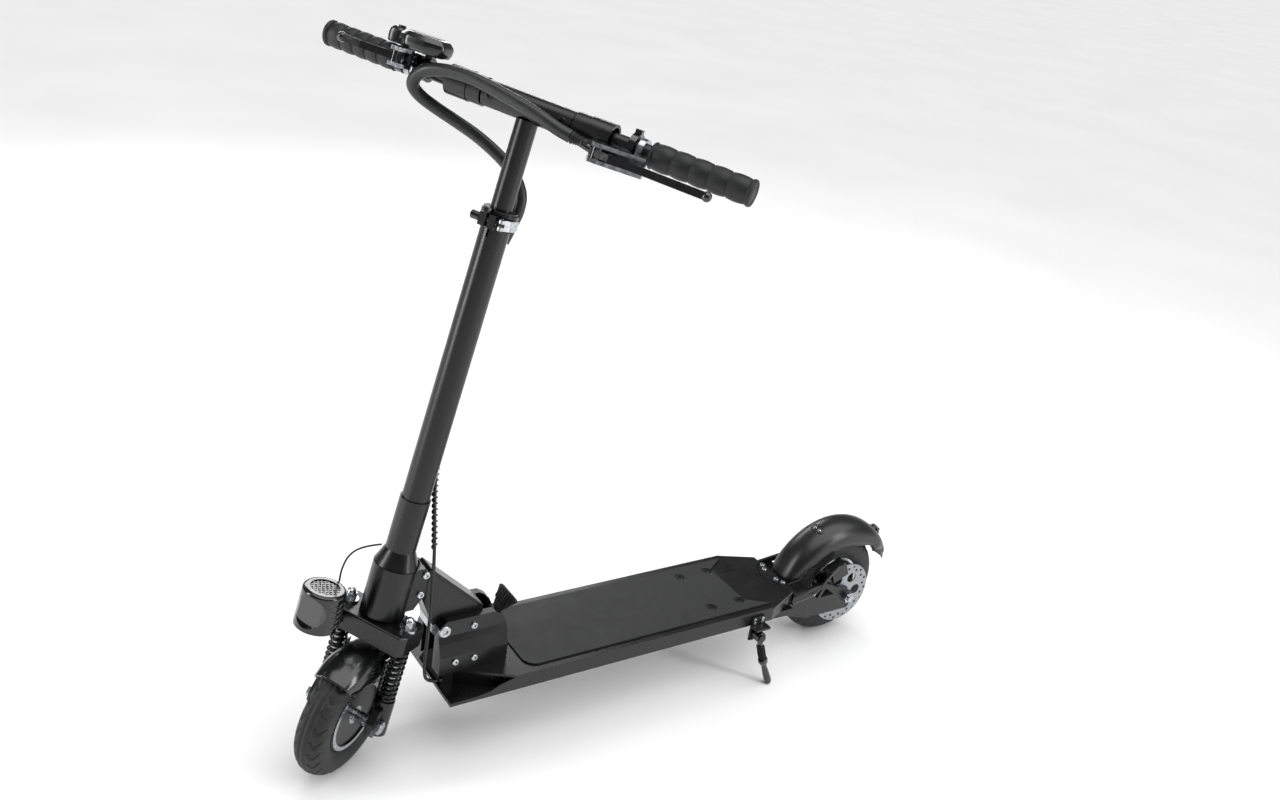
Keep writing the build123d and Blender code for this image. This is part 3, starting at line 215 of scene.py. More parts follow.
# The gathered sleeve on the left: from the lever's perch it runs inboard in front of the
# bar to its middle. It follows the left arm outboard and the bar's middle inboard.
SLEEVE_RADIUS = 0.0085
sleeve_left_route = [on_stem(*p) for p in (
    (31, 76, 882.5), (33, 62, 884.5), (34, 44, 889), (34, 14, 896), (33, -20, 900.5))]
sleeve_left_mesh, sleeve_left_path = cable_mesh("cable_sleeve_left", sleeve_left_route, SLEEVE_RADIUS)
sleeve_left = new_piece("cable_sleeve_left", sleeve_left_mesh, vinyl)
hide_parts("sheath_left")
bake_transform(sleeve_left)

# The same sleeve on the right loops out under the right arm and comes back behind the
# stem. Its two runs cross the arm's hinge, so it is three lengths that meet end to end.
sleeve_right_route = [on_stem(*p) for p in (
    (33, -20, 900.5), (32, -58, 906), (31, -96, 906), (31, -128, 901), (30, -150, 890),
    (24, -160, 872), (12, -152, 860), (-2, -132, 851), (-14, -102, 842), (-24, -68, 832),
    (-30, -45, 821))]
sleeve_right_mesh, sleeve_right_path = cable_mesh("cable_sleeve_right", sleeve_right_route, SLEEVE_RADIUS)
sleeve_right = new_piece("cable_sleeve_right", sleeve_right_mesh, vinyl)
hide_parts("sheath_right")
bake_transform(sleeve_right)

# Below the bar the sleeve dives behind the stem and enters the clamp's cable guide. It
# gathers up between the bar and the clamp when the bar is lowered.
sleeve_down_route = [on_stem(*p) for p in (
    (-30, -45, 821), (-36, -22, 810), (-37, 4, 784), (-37, 8, 762), (-36, 5, 740), (-30, 2, 714))]
sleeve_down_mesh, sleeve_down_path = cable_mesh("cable_sleeve_down", sleeve_down_route, SLEEVE_RADIUS)
sleeve_down = new_piece("cable_sleeve_down", sleeve_down_mesh, vinyl)
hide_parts("sheath_down")
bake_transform(sleeve_down)

# The main cable runs down the back of the stem, lies along the neck and dips into the
# deck's nose. It crosses two joints, so it is one length above and one below the neck.
CABLE_RADIUS = 0.0026
cable_upper_route = [on_stem(*p) for p in (
    (-29.7, 1.9, 713), (-26, 0, 670), (-24.5, 0, 612), (-25.5, 0, 554), (-24.5, 0, 496),
    (-25.5, 0, 438))] + [on_deck(*p) for p in (
    (826.5, -8, 458), (829, 6, 404), (832, 22, 354), (833, 26.5, 327))]
cable_upper_mesh, cable_upper_path = cable_mesh("main_cable_upper", cable_upper_route, CABLE_RADIUS)
cable_upper = new_piece("main_cable_upper", cable_upper_mesh, vinyl)
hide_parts("main_cable")
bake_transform(cable_upper)
cable_lower_route = [on_deck(*p) for p in (
    (833, 26.5, 327), (834, 31, 300), (835, 33, 240), (836, 33, 182), (836, 32, 146),
    (829, 31, 127), (811.5, 31, 123.4))]
cable_lower_mesh, cable_lower_path = cable_mesh("main_cable_lower", cable_lower_route, CABLE_RADIUS)
cable_lower = new_piece("main_cable_lower", cable_lower_mesh, vinyl)
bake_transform(cable_lower)

# Two short wires: the lamp's, which arches out of the sleeve, and the rear brake's, from
# under the deck up to the caliper.
LAMP_WIRE_RADIUS = 0.0014
BRAKE_WIRE_RADIUS = 0.002
lamp_wire_route = [on_stem(*p) for p in (
    (26, -17, 262), (40, -34, 256), (44, -52, 236), (39, -60, 206), (34, -60, 178),
    (36, -58, 160), (48, -57, 152))]
lamp_wire_mesh, lamp_wire_path = cable_mesh("lamp_lead", lamp_wire_route, LAMP_WIRE_RADIUS)
lamp_lead = place(new_piece("lamp_lead", lamp_wire_mesh, vinyl), "steering", "cable_jacket", "lamp_wire")
brake_wire_route = [on_deck(*p) for p in (
    (142, 66, 121), (112, 67, 124), (84, 66, 134), (62, 62, 152), (38, 56, 164), (26, 50, 166))]
brake_wire_mesh, brake_wire_path = cable_mesh("rear_brake_wire", brake_wire_route, BRAKE_WIRE_RADIUS)
rear_brake_wire = place(
    new_piece("rear_brake_wire", brake_wire_mesh, vinyl), "deck", "cable_jacket", "rear_brake_cable")


# The studio: a pale painted floor under a wide overcast light, three narrow soft boxes at
# the sides, and a dim even room, so that black paint keeps its depth and shows its edges.
bpy.context.scene.view_settings.view_transform = "Standard"
floor_mesh = bpy.data.meshes.new("studio_floor")
FLOOR = 40
floor_mesh.from_pydata(
    [(-FLOOR, -FLOOR, 0), (FLOOR, -FLOOR, 0), (FLOOR, FLOOR, 0), (-FLOOR, FLOOR, 0)], [], [(0, 1, 2, 3)])
floor_paint = new_material("pale_floor_paint")
mottle = add_node(floor_paint, "ShaderNodeTexNoise", {
    "Vector": add_node(floor_paint, "ShaderNodeTexCoord").outputs["Object"], "Scale": 1.5})
finish_material(floor_paint, {
    "Base Color": shades(floor_paint, mottle.outputs["Fac"], [(0.3, tint("f1f1f1")), (0.7, tint("f6f6f6"))]),
    "Roughness": 0.85,
})
floor = new_piece("studio_floor", floor_mesh, floor_paint)
world = bpy.data.worlds.new("room")
world.use_nodes = True
world.node_tree.nodes["Background"].inputs["Color"].default_value = (1.0, 1.0, 1.0, 1.0)
world.node_tree.nodes["Background"].inputs["Strength"].default_value = 0.16
bpy.context.scene.world = world
for name, at, width, height, power in (
    ("left_light", (-1.9, 2.5, 1.5), 0.5, 2.4, 40),
    ("front_light", (2.9, -0.6, 1.4), 0.5, 2.4, 40),
    ("back_light", (-0.6, -2.8, 1.8), 2.4, 0.6, 30),
):
    lamp_data = bpy.data.lights.new(name, "AREA")
    lamp_data.shape = "RECTANGLE"
    lamp_data.size = width
    lamp_data.size_y = height
    lamp_data.energy = power
    lamp = bpy.data.objects.new(name, lamp_data)
    lamp.location = at
    lamp.rotation_euler = (Vector((0.0, 0.0, 0.45)) - Vector(at)).to_track_quat("-Z", "Y").to_euler()
    bpy.context.scene.collection.objects.link(lamp)
overcast_data = bpy.data.lights.new("overcast_light", "SUN")
overcast_data.energy = 2.6
overcast_data.angle = math.radians(75)
overcast = bpy.data.objects.new("overcast_light", overcast_data)
overcast.rotation_euler = (math.radians(-12), math.radians(-10), 0.0)
bpy.context.scene.collection.objects.link(overcast)


# The frame is aluminium tube, plate and extrusion, welded or bolted and powder coated in a
# satin black. The coat has a fine orange peel of about 0.8 mm and thins to a sheen on edges.
powder_coat = new_material("satin_black_powder_coat")
place_on = add_node(powder_coat, "ShaderNodeTexCoord").outputs["Object"]
peel = add_node(powder_coat, "ShaderNodeTexNoise", {"Vector": place_on, "Scale": 1 / 0.0008, "Detail": 2.0})
handling = add_node(powder_coat, "ShaderNodeTexNoise", {
    "Vector": place_on, "Scale": 1 / 0.045, "Detail": 6.0, "Roughness": 0.6})
finish_material(powder_coat, {
    "Base Color": shades(powder_coat, handling.outputs["Fac"], [
        (0.3, tint("050506")), (0.75, tint("0a0b0c"))]),
    "Roughness": shades(powder_coat, handling.outputs["Fac"], [(0.3, grey(0.24)), (0.7, grey(0.34))]),
    "IOR": 1.5,
    "Normal": add_node(powder_coat, "ShaderNodeBump", {
        "Height": peel.outputs["Fac"], "Strength": 0.06, "Distance": 0.0003}).outputs["Normal"],
})


def coat(material, *nodes):
    """Gives CAD nodes a finish; their shape stays."""
    for node in nodes:
        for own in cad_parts[node].material_slots:
            own.material = material


coat(powder_coat, "deck_plate", "deck_tray", "nose_plate", "fold_housing", "head_housing",
     "fork_crown", "stem_sleeve", "outer_tube", "inner_tube", "bar_middle", "bar_arm_left",
     "bar_arm_right", "lock_collar_left", "lock_collar_right", "clamp_ring", "fork_lower_left",
     "fork_lower_right", "stand_bracket", "rear_frame")

# Inside the deck, out of sight: the battery and the controller, in shrink wrap.
shrink_wrap = new_material("pvc_shrink_wrap")
place_on = add_node(shrink_wrap, "ShaderNodeTexCoord").outputs["Object"]
creases = add_node(shrink_wrap, "ShaderNodeTexNoise", {"Vector": place_on, "Scale": 1 / 0.01, "Detail": 5.0})
finish_material(shrink_wrap, {
    "Base Color": shades(shrink_wrap, creases.outputs["Fac"], [(0.3, tint("1b2a44")), (0.7, tint("22365a"))]),
    "Roughness": 0.32,
    "Normal": add_node(shrink_wrap, "ShaderNodeBump", {
        "Height": creases.outputs["Fac"], "Strength": 0.3, "Distance": 0.0008}).outputs["Normal"],
})
coat(shrink_wrap, "battery_pack", "controller_box")

# The standing surface is a sheet of black rubber, glued down, with a fine pebble of 1.6 mm.
mat_rubber = new_material("pebbled_rubber_mat")
place_on = add_node(mat_rubber, "ShaderNodeTexCoord").outputs["Object"]
pebbles = add_node(mat_rubber, "ShaderNodeTexVoronoi", {"Vector": place_on, "Scale": 1 / 0.0016})
scuffs = add_node(mat_rubber, "ShaderNodeTexNoise", {
    "Vector": place_on, "Scale": 1 / 0.06, "Detail": 8.0, "Roughness": 0.65})
finish_material(mat_rubber, {
    "Base Color": shades(mat_rubber, scuffs.outputs["Fac"], [(0.3, tint("101112")), (0.75, tint("1c1d1f"))]),
    "Roughness": shades(mat_rubber, scuffs.outputs["Fac"], [(0.3, grey(0.5)), (0.7, grey(0.68))]),
    "IOR": 1.52,
    "Normal": add_node(mat_rubber, "ShaderNodeBump", {
        "Height": pebbles.outputs["Distance"], "Strength": 0.25, "Distance": 0.0004}).outputs["Normal"],
})


# Fasteners, axles and the folding pins are steel, zinc plated and left bright, with a soft
# directionless brush and a little grey in the plating.
zinc_plate = new_material("bright_zinc_plated_steel")
place_on = add_node(zinc_plate, "ShaderNodeTexCoord").outputs["Object"]
cloud = add_node(zinc_plate, "ShaderNodeTexNoise", {"Vector": place_on, "Scale": 1 / 0.004, "Detail": 5.0})
finish_material(zinc_plate, {
    "Base Color": shades(zinc_plate, cloud.outputs["Fac"], [(0.3, tint("9fa2a6")), (0.7, tint("d4d6d8"))]),
    "Metallic": 1.0,
    "Roughness": shades(zinc_plate, cloud.outputs["Fac"], [(0.3, grey(0.18)), (0.7, grey(0.32))]),
    "Normal": add_node(zinc_plate, "ShaderNodeBump", {
        "Height": cloud.outputs["Fac"], "Strength": 0.08, "Distance": 0.0003}).outputs["Normal"],
})
coat(zinc_plate, "fold_pins", "rear_axle", "front_axle", "head_fittings", "stanchions",
     "throttle_lever", "clamp_lever")

# The brake rotor is punched stainless sheet, ground flat in rings about 0.6 mm apart.
ground_steel = new_material("ground_stainless_rotor")
place_on = add_node(ground_steel, "ShaderNodeTexCoord").outputs["Object"]
from_hub = add_node(ground_steel, "ShaderNodeMapping", {
    "Vector": place_on, "Location": (ROW_SHIFT / 1000, 0.0, -0.1)}, vector_type="POINT")
grinding = add_node(ground_steel, "ShaderNodeTexWave", {
    "Vector": from_hub.outputs["Vector"], "Scale": 1 / 0.0012 / 6.28, "Distortion": 2.0, "Detail": 3.0},
    wave_type="RINGS", rings_direction="Y")
finish_material(ground_steel, {
    "Base Color": shades(ground_steel, grinding.outputs["Fac"], [
        (0.0, tint("83868a")), (1.0, tint("aeb1b4"))]),
    "Metallic": 1.0,
    "Roughness": 0.28,
    "Normal": add_node(ground_steel, "ShaderNodeBump", {
        "Height": grinding.outputs["Fac"], "Strength": 0.12, "Distance": 0.0002}).outputs["Normal"],
})
coat(ground_steel, "brake_rotor")

# Castings: the hub motor's case, the rear rim, the caliper and the brake perches are
# aluminium, die cast, then painted satin black or left in a fine grey skin.
cast_alloy = new_material("die_cast_aluminium")
place_on = add_node(cast_alloy, "ShaderNodeTexCoord").outputs["Object"]
skin = add_node(cast_alloy, "ShaderNodeTexNoise", {"Vector": place_on, "Scale": 1 / 0.0011, "Detail": 4.0})
finish_material(cast_alloy, {
    "Base Color": shades(cast_alloy, skin.outputs["Fac"], [(0.3, tint("6e7175")), (0.7, tint("a3a6aa"))]),
    "Metallic": 1.0,
    "Roughness": 0.4,
    "Normal": add_node(cast_alloy, "ShaderNodeBump", {
        "Height": skin.outputs["Fac"], "Strength": 0.2, "Distance": 0.0003}).outputs["Normal"],
})
black_casting = new_material("black_painted_casting")
place_on = add_node(black_casting, "ShaderNodeTexCoord").outputs["Object"]
skin = add_node(black_casting, "ShaderNodeTexNoise", {"Vector": place_on, "Scale": 1 / 0.0014, "Detail": 4.0})
finish_material(black_casting, {
    "Base Color": shades(black_casting, skin.outputs["Fac"], [(0.3, tint("0b0b0c")), (0.7, tint("151617"))]),
    "Roughness": 0.3,
    "IOR": 1.5,
    "Normal": add_node(black_casting, "ShaderNodeBump", {
        "Height": skin.outputs["Fac"], "Strength": 0.18, "Distance": 0.0003}).outputs["Normal"],
})


def refinish(node, body, slot, finishes, pick):
    """The CAD node's own surfaces as a new piece, with a finish picked for each face; a face
    with none is left out, because a more detailed piece stands there."""
    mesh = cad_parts[node].data.copy()
    mesh.materials.clear()
    piece = new_piece(node + "_finished", mesh, *finishes)
    left_out = []
    for face in mesh.polygons:
        finish = pick(face.center)
        if finish is None:
            left_out.append(face.index)
        else:
            face.material_index = finish
    if left_out:
        form = bmesh.new()
        form.from_mesh(mesh)
        form.faces.ensure_lookup_table()
        bmesh.ops.delete(form, geom=[form.faces[i] for i in left_out], context="FACES")
        form.to_mesh(mesh)
        form.free()
    return place(piece, body, slot, node)


# The neck is the same black box section, but the knuckle welded to its foot is left bright,
# because it turns in the folding housing. The four deck bolts are blacked, and the rear
# panel of the deck is painted plate let in flush with the mat.
KNUCKLE_X, KNUCKLE_Z, KNUCKLE_RADIUS = 809.0, 214.0, 16.6
DECK_BOLTS_X = (254.8, 314.4)
MAT_FACE_Z = 143.2


def neck_finish(point):
    away = math.hypot(point.x * 1000 + ROW_SHIFT - KNUCKLE_X, point.z * 1000 - KNUCKLE_Z)
    return 1 if away < KNUCKLE_RADIUS else 0


def screw_finish(point):
    x, y, z = (c * 1000 for c in point)
    by_bolt = min(abs(x + ROW_SHIFT - bolt) for bolt in DECK_BOLTS_X) < 12.6
    return 1 if by_bolt and z > 142.5 and 38 < abs(y) < 60 else 0


def mat_finish(point):
    return 1 if point.z * 1000 < MAT_FACE_Z else 0


refinish("neck_box", "neck", "satin_black_tube", (powder_coat, zinc_plate), neck_finish)
refinish("frame_screws", "deck", "bright_steel", (zinc_plate, black_casting), screw_finish)
refinish("deck_mat", "deck", "grip_rubber", (mat_rubber, powder_coat), mat_finish)


# The front wheel is a hub motor: a black painted drum between two bright machined rims, on
# an axle ahead of the steering line. The rear wheel is cast, with the same two finishes.
AXLE_AHEAD, AXLE_UP = 25.1, -5.25
FRONT_HUB = on_stem(AXLE_AHEAD, 0, AXLE_UP)
REAR_HUB = Vector((-ROW_SHIFT / 1000, 0.0, 0.1))


def motor_finish(point):
    ahead, left, up = from_stem(point)
    away = math.hypot(ahead - AXLE_AHEAD, up - AXLE_UP)
    return 1 if 50.0 < away or away < 14.0 else 0


refinish("hub_motor_shell", "front_wheel", "cast_alloy", (black_casting, zinc_plate), motor_finish)


def rear_rim_finish(point):
    away = math.hypot(point.x - REAR_HUB.x, point.z - REAR_HUB.z) * 1000
    return 1 if away > 51.0 else 0


refinish("rear_rim", "rear_wheel", "cast_alloy", (black_casting, zinc_plate), rear_rim_finish)
coat(black_casting, "brake_caliper")


# Both tyres are solid rubber, moulded with a plain crown, two running grooves and 27 kinked
# cuts round each shoulder. They are seated on the rims by their own stretch.
tyre_rubber = new_material("moulded_tyre_rubber")
place_on = add_node(tyre_rubber, "ShaderNodeTexCoord").outputs["Object"]
bloom = add_node(tyre_rubber, "ShaderNodeTexNoise", {
    "Vector": place_on, "Scale": 1 / 0.02, "Detail": 7.0, "Roughness": 0.62})
grain = add_node(tyre_rubber, "ShaderNodeTexNoise", {"Vector": place_on, "Scale": 1 / 0.001, "Detail": 3.0})
finish_material(tyre_rubber, {
    "Base Color": shades(tyre_rubber, bloom.outputs["Fac"], [(0.3, tint("0b0b0c")), (0.78, tint("18191a"))]),
    "Roughness": shades(tyre_rubber, bloom.outputs["Fac"], [(0.3, grey(0.5)), (0.7, grey(0.66))]),
    "IOR": 1.52,
    "Normal": add_node(tyre_rubber, "ShaderNodeBump", {
        "Height": grain.outputs["Fac"], "Strength": 0.2, "Distance": 0.0003}).outputs["Normal"],
})
TYRE_CORE = 0.076
TYRE_CROWN = 0.024
TYRE_HALF_WIDTH = 0.024
BEAD_RADIUS = 0.0572
TREAD_CUTS = 27
GROOVE_OUT = 0.0052
CUT_FROM, CUT_TO = 0.0078, 0.0222


def tread_depth(turn, across):
    """How deep the mould cuts at this turn of the wheel and place across it, in metres."""
    side = abs(across)
    running = max(0.0, 1.0 - abs(side - GROOVE_OUT) / 0.0014)
    shoulder = 0.0
    if CUT_FROM < side < CUT_TO:
        slant = (side - CUT_FROM) / (CUT_TO - CUT_FROM)
        kink = 1.1 * (slant if slant < 0.5 else 1.0 - slant)
        phase = (turn / (2 * math.pi) * TREAD_CUTS + kink + (0.5 if across > 0 else 0.0)) % 1.0
        edge = min(1.0, (side - CUT_FROM) / 0.0012, (CUT_TO - side) / 0.0015)
        shoulder = max(0.0, 1.0 - abs(phase - 0.5) / 0.16) * edge
    return 0.0026 * min(1.0, 1.7 * max(running, shoulder))


def tyre_mesh(centre, ahead, axle, up):
    """A moulded tyre about the axle, cut with its tread, with its bead tucked in the rim."""
    around = 540
    section = []
    for step in range(45):
        lean = math.radians(-128 + 256 * step / 44)
        across = TYRE_HALF_WIDTH * math.sin(lean)
        height = TYRE_CORE + TYRE_CROWN * math.copysign(abs(math.cos(lean)) ** 0.86, math.cos(lean))
        section.append((across, height))
    section += [(0.0172, BEAD_RADIUS), (-0.0172, BEAD_RADIUS)]
    verts = []
    for index in range(around):
        turn = 2 * math.pi * index / around
        out = ahead * math.cos(turn) + up * math.sin(turn)
        for across, height in section:
            cut = tread_depth(turn, across) if height > 0.082 else 0.0
            verts.append(centre + out * (height - cut) + axle * across)
    count = len(section)
    faces = []
    for index in range(around):
        here = index * count
        there = (index + 1) % around * count
        for step in range(count):
            after = (step + 1) % count
            faces.append((here + step, there + step, there + after, here + after))
    mesh = bpy.data.meshes.new("mesh")
    mesh.from_pydata([tuple(v) for v in verts], [], faces)
    mesh.update()
    for face in mesh.polygons:
        face.use_smooth = True
    return mesh


front_tyre = new_piece("front_tyre_moulded", tyre_mesh(FRONT_HUB, AHEAD, LEFT, UPWARD), tyre_rubber)
place(front_tyre, "front_wheel", "tyre_rubber", "front_tyre")
rear_tyre = new_piece("rear_tyre_moulded", tyre_mesh(
    REAR_HUB, Vector((1, 0, 0)), Vector((0, 1, 0)), Vector((0, 0, 1))), tyre_rubber)
place(rear_tyre, "rear_wheel", "tyre_rubber", "rear_tyre")


# The front fender is ABS, moulded and glossy, with two raised ribs along its crown. It
# hangs between the fork's legs on two flat stays.
gloss_abs = new_material("glossy_black_abs")
place_on = add_node(gloss_abs, "ShaderNodeTexCoord").outputs["Object"]
flow = add_node(gloss_abs, "ShaderNodeTexNoise", {"Vector": place_on, "Scale": 1 / 0.03, "Detail": 4.0})
finish_material(gloss_abs, {
    "Base Color": shades(gloss_abs, flow.outputs["Fac"], [(0.3, tint("08090a")), (0.7, tint("101112"))]),
    "Roughness": shades(gloss_abs, flow.outputs["Fac"], [(0.3, grey(0.14)), (0.7, grey(0.24))]),
    "IOR": 1.54,
    "Coat Weight": 0.3,
    "Coat Roughness": 0.12,
    "Normal": add_node(gloss_abs, "ShaderNodeBump", {
        "Height": flow.outputs["Fac"], "Strength": 0.1, "Distance": 0.001}).outputs["Normal"],
})
coat(gloss_abs, "lamp_housing", "horn_button")


def skin_between(rings, smooth=True):
    """A surface through rings of points, one after the other, with its two ends closed."""
    count = len(rings[0])
    verts = [tuple(point) for ring in rings for point in ring]
    faces = []
    for index in range(len(rings) - 1):
        here, there = index * count, (index + 1) * count
        for step in range(count):
            after = (step + 1) % count
            faces.append((here + step, here + after, there + after, there + step))
    faces.append(tuple(reversed(range(count))))
    faces.append(tuple(range((len(rings) - 1) * count, len(rings) * count)))
    mesh = bpy.data.meshes.new("mesh")
    mesh.from_pydata(verts, [], faces)
    mesh.update()
    form = bmesh.new()
    form.from_mesh(mesh)
    bmesh.ops.recalc_face_normals(form, faces=form.faces[:])
    form.to_mesh(mesh)
    form.free()
    for face in mesh.polygons:
        face.use_smooth = smooth and len(face.vertices) == 4
    return mesh


def fender_mesh(centre, ahead, axle, up, radius, stations, wall, rib=0.0):
    """A blown shell about the axle. Each station is its angle, half width and side depth in
    millimetres; the crown between is round, with two raised ribs where rib is above zero."""
    rings = []
    for index in range((len(stations) - 1) * 10 + 1):
        low = min(index // 10, len(stations) - 2)
        share = index / 10 - low
        eased = share * share * (3 - 2 * share)
        angle, half, depth = (
            a + (b - a) * way for way, a, b in zip((share, eased, eased), stations[low], stations[low + 1]))
        turn = math.radians(angle)
        out = ahead * math.cos(turn) + up * math.sin(turn)
        ring = []
        for inner in (0.0, wall):
            row = []
            for step in range(33):
                lean = math.radians(-90 + 180 * step / 32)
                across = (half - inner) * math.copysign(abs(math.sin(lean)) ** 0.9, lean)
                height = radius - depth + (depth - inner) * abs(math.cos(lean)) ** 0.62
                if not inner and rib:
                    height += rib * math.exp(-(((abs(across) - 0.5 * half) / 1.6) ** 2))
                row.append(centre + (out * height + axle * across) / 1000)
            ring += row if not inner else list(reversed(row))
        rings.append(ring)
    return skin_between(rings)


def stay_finish(point):
    """Keeps the fender's two stays, down the inside of the legs, and leaves out its shell."""
    ahead, left, up = from_stem(point)
    return 0 if 34.0 < abs(left) < 36.2 and 1.5 < ahead < 16.5 and -4.5 < up < 92.5 and not (
        abs(math.hypot(ahead - AXLE_AHEAD, up - AXLE_UP) - 95) < 19 and abs(left) < 34.05) else None


refinish("front_fender", "fork_slider", "gloss_black_plastic", (gloss_abs,), stay_finish)
front_shell = new_piece("front_fender_shell", fender_mesh(
    FRONT_HUB, AHEAD, LEFT, UPWARD, 110.6,
    ((48, 30, 24), (62, 33.6, 34), (92, 33.8, 48), (118, 33.6, 40), (141, 31, 26)), 2.2, 1.1), gloss_abs)
place(front_shell, "fork_slider", "gloss_black_plastic")

# The rear fender is blow-moulded from the same plastic in a satin finish. It bolts to the
# deck in front, carries a round tail reflector on a lug, and ends in a narrow flap.
satin_abs = new_material("satin_black_abs")
place_on = add_node(satin_abs, "ShaderNodeTexCoord").outputs["Object"]
spark = add_node(satin_abs, "ShaderNodeTexNoise", {"Vector": place_on, "Scale": 1 / 0.0012, "Detail": 3.0})
flow = add_node(satin_abs, "ShaderNodeTexNoise", {"Vector": place_on, "Scale": 1 / 0.04, "Detail": 4.0})
finish_material(satin_abs, {
    "Base Color": shades(satin_abs, flow.outputs["Fac"], [(0.3, tint("0b0b0c")), (0.7, tint("141516"))]),
    "Roughness": shades(satin_abs, flow.outputs["Fac"], [(0.3, grey(0.3)), (0.7, grey(0.38))]),
    "IOR": 1.54,
    "Normal": add_node(satin_abs, "ShaderNodeBump", {
        "Height": spark.outputs["Fac"], "Strength": 0.1, "Distance": 0.0003}).outputs["Normal"],
})
rear_shell = new_piece("rear_fender_shell", fender_mesh(
    REAR_HUB, Vector((1, 0, 0)), Vector((0, 1, 0)), Vector((0, 0, 1)), 132.8,
    ((11, 22, 10), (24, 33, 26), (52, 35.8, 40), (104, 35.8, 40), (138, 33, 28), (152, 25, 14), (167, 14, 5)),
    2.4), satin_abs)
place(rear_shell, "deck", "satin_black_tube", "rear_fender")


def lathe(centre, axis, outline, around=48):
    """A turned piece: outline is (place along the axis, radius) in millimetres."""
    axis = Vector(axis).normalized()
    first = axis.orthogonal().normalized()
    second = axis.cross(first)
    rings = []
    for along, radius in outline:
        rings.append([
            centre + (axis * along + (
                first * math.cos(2 * math.pi * k / around)
                + second * math.sin(2 * math.pi * k / around)) * max(radius, 0.02)) / 1000
            for k in range(around)])
    mesh = skin_between(rings)
    for edge in mesh.edges:
        edge.use_edge_sharp = False
    mesh.set_sharp_from_angle(angle=math.radians(32))
    return mesh


REFLECTOR_ANGLE, WELL_ANGLE = 137, 66


def rear_spoke(angle, height, across=0.0):
    """A point on the rear fender, from its angle round the axle and millimetres out."""
    turn = math.radians(angle)
    return REAR_HUB + Vector((math.cos(turn) * height, across, math.sin(turn) * height)) / 1000


spoke = rear_spoke(REFLECTOR_ANGLE, 1000) - REAR_HUB
lug = new_piece("tail_reflector_lug", lathe(rear_spoke(REFLECTOR_ANGLE, 130), spoke, (
    (0, 12.5), (5, 12.0), (6.5, 10.8), (7, 9.6), (9.5, 9.2), (10.5, 8.4), (10.8, 0))), gloss_abs)
place(lug, "deck", "gloss_black_plastic")

# A shallow oval well in the fender's crown holds its two bright mounting screws.
well_points = []
spoke = (rear_spoke(WELL_ANGLE, 1000) - REAR_HUB).normalized()
along_crown = Vector((0, 1, 0)).cross(spoke)
for scale, lift in ((1.0, -1.0), (1.0, 1.5), (0.9, 2.1), (0.8, 1.6), (0.74, 0.1)):
    ring = []
    for step in range(40):
        turn = 2 * math.pi * step / 40
        ring.append(rear_spoke(WELL_ANGLE, 131.6 + lift) + scale / 1000 * (
            Vector((0, 1, 0)) * math.cos(turn) * 15 + along_crown * math.sin(turn) * 9))
    well_points.append(ring)
well = new_piece("fender_screw_well", skin_between(well_points), gloss_abs)
place(well, "deck", "gloss_black_plastic")
for count, across in enumerate((-6.0, 6.0)):
    head = new_piece("fender_top_screw_%d" % count, lathe(
        rear_spoke(WELL_ANGLE, 131.5, across), spoke, (
            (0, 3.6), (1.6, 3.6), (2.6, 2.9), (2.7, 1.7), (1.4, 1.5), (1.3, 0)), 24), zinc_plate)
    place(head, "deck", "bright_steel")

# The suspension springs are oil-blacked spring steel, wound from 4.4 mm wire in ten turns.
spring_wire = new_material("oil_blacked_spring_steel")
place_on = add_node(spring_wire, "ShaderNodeTexCoord").outputs["Object"]
drawn = add_node(spring_wire, "ShaderNodeTexNoise", {"Vector": place_on, "Scale": 1 / 0.003, "Detail": 4.0})
finish_material(spring_wire, {
    "Base Color": shades(spring_wire, drawn.outputs["Fac"], [(0.3, tint("0c0d0e")), (0.7, tint("1c1d1f"))]),
    "Metallic": 0.4,
    "Roughness": 0.24,
    "Normal": add_node(spring_wire, "ShaderNodeBump", {
        "Height": drawn.outputs["Fac"], "Strength": 0.1, "Distance": 0.0003}).outputs["Normal"],
})


def spring_mesh(left):
    """A compression spring round one stanchion, its end turns closed up flat."""
    turns, coil, wire, ring = 10, 10.6, 2.2, 10
    low, high = 34.4, 117.6
    steps = 36 * turns
    verts, faces = [], []
    for index in range(steps + 1):
        along = index / steps
        closed = 0.5 - 0.5 * math.cos(math.pi * along)
        height = low + (high - low) * (0.75 * along + 0.25 * closed)
        turn = 2 * math.pi * turns * along
        out = AHEAD * math.cos(turn) + LEFT * math.sin(turn)
        at = on_stem(9, left, height) + out * coil / 1000
        for side in range(ring):
            swing = 2 * math.pi * side / ring
            verts.append(tuple(at + (out * math.cos(swing) + UPWARD * math.sin(swing)) * wire / 1000))
    for index in range(steps):
        for side in range(ring):
            after = (side + 1) % ring
            here, there = index * ring, (index + 1) * ring
            faces.append((here + side, here + after, there + after, there + side))
    faces.append(tuple(range(ring)))
    faces.append(tuple(reversed(range(steps * ring, (steps + 1) * ring))))
    mesh = bpy.data.meshes.new("mesh")
    mesh.from_pydata(verts, [], faces)
    mesh.update()
    for face in mesh.polygons:
        face.use_smooth = len(face.vertices) == 4
    return mesh


for side_name, left in (("left", 50), ("right", -50)):
    spring = new_piece("fork_spring_" + side_name, spring_mesh(left), spring_wire)
    place(spring, "steering", "spring_steel", "fork_springs")
    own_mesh(spring)


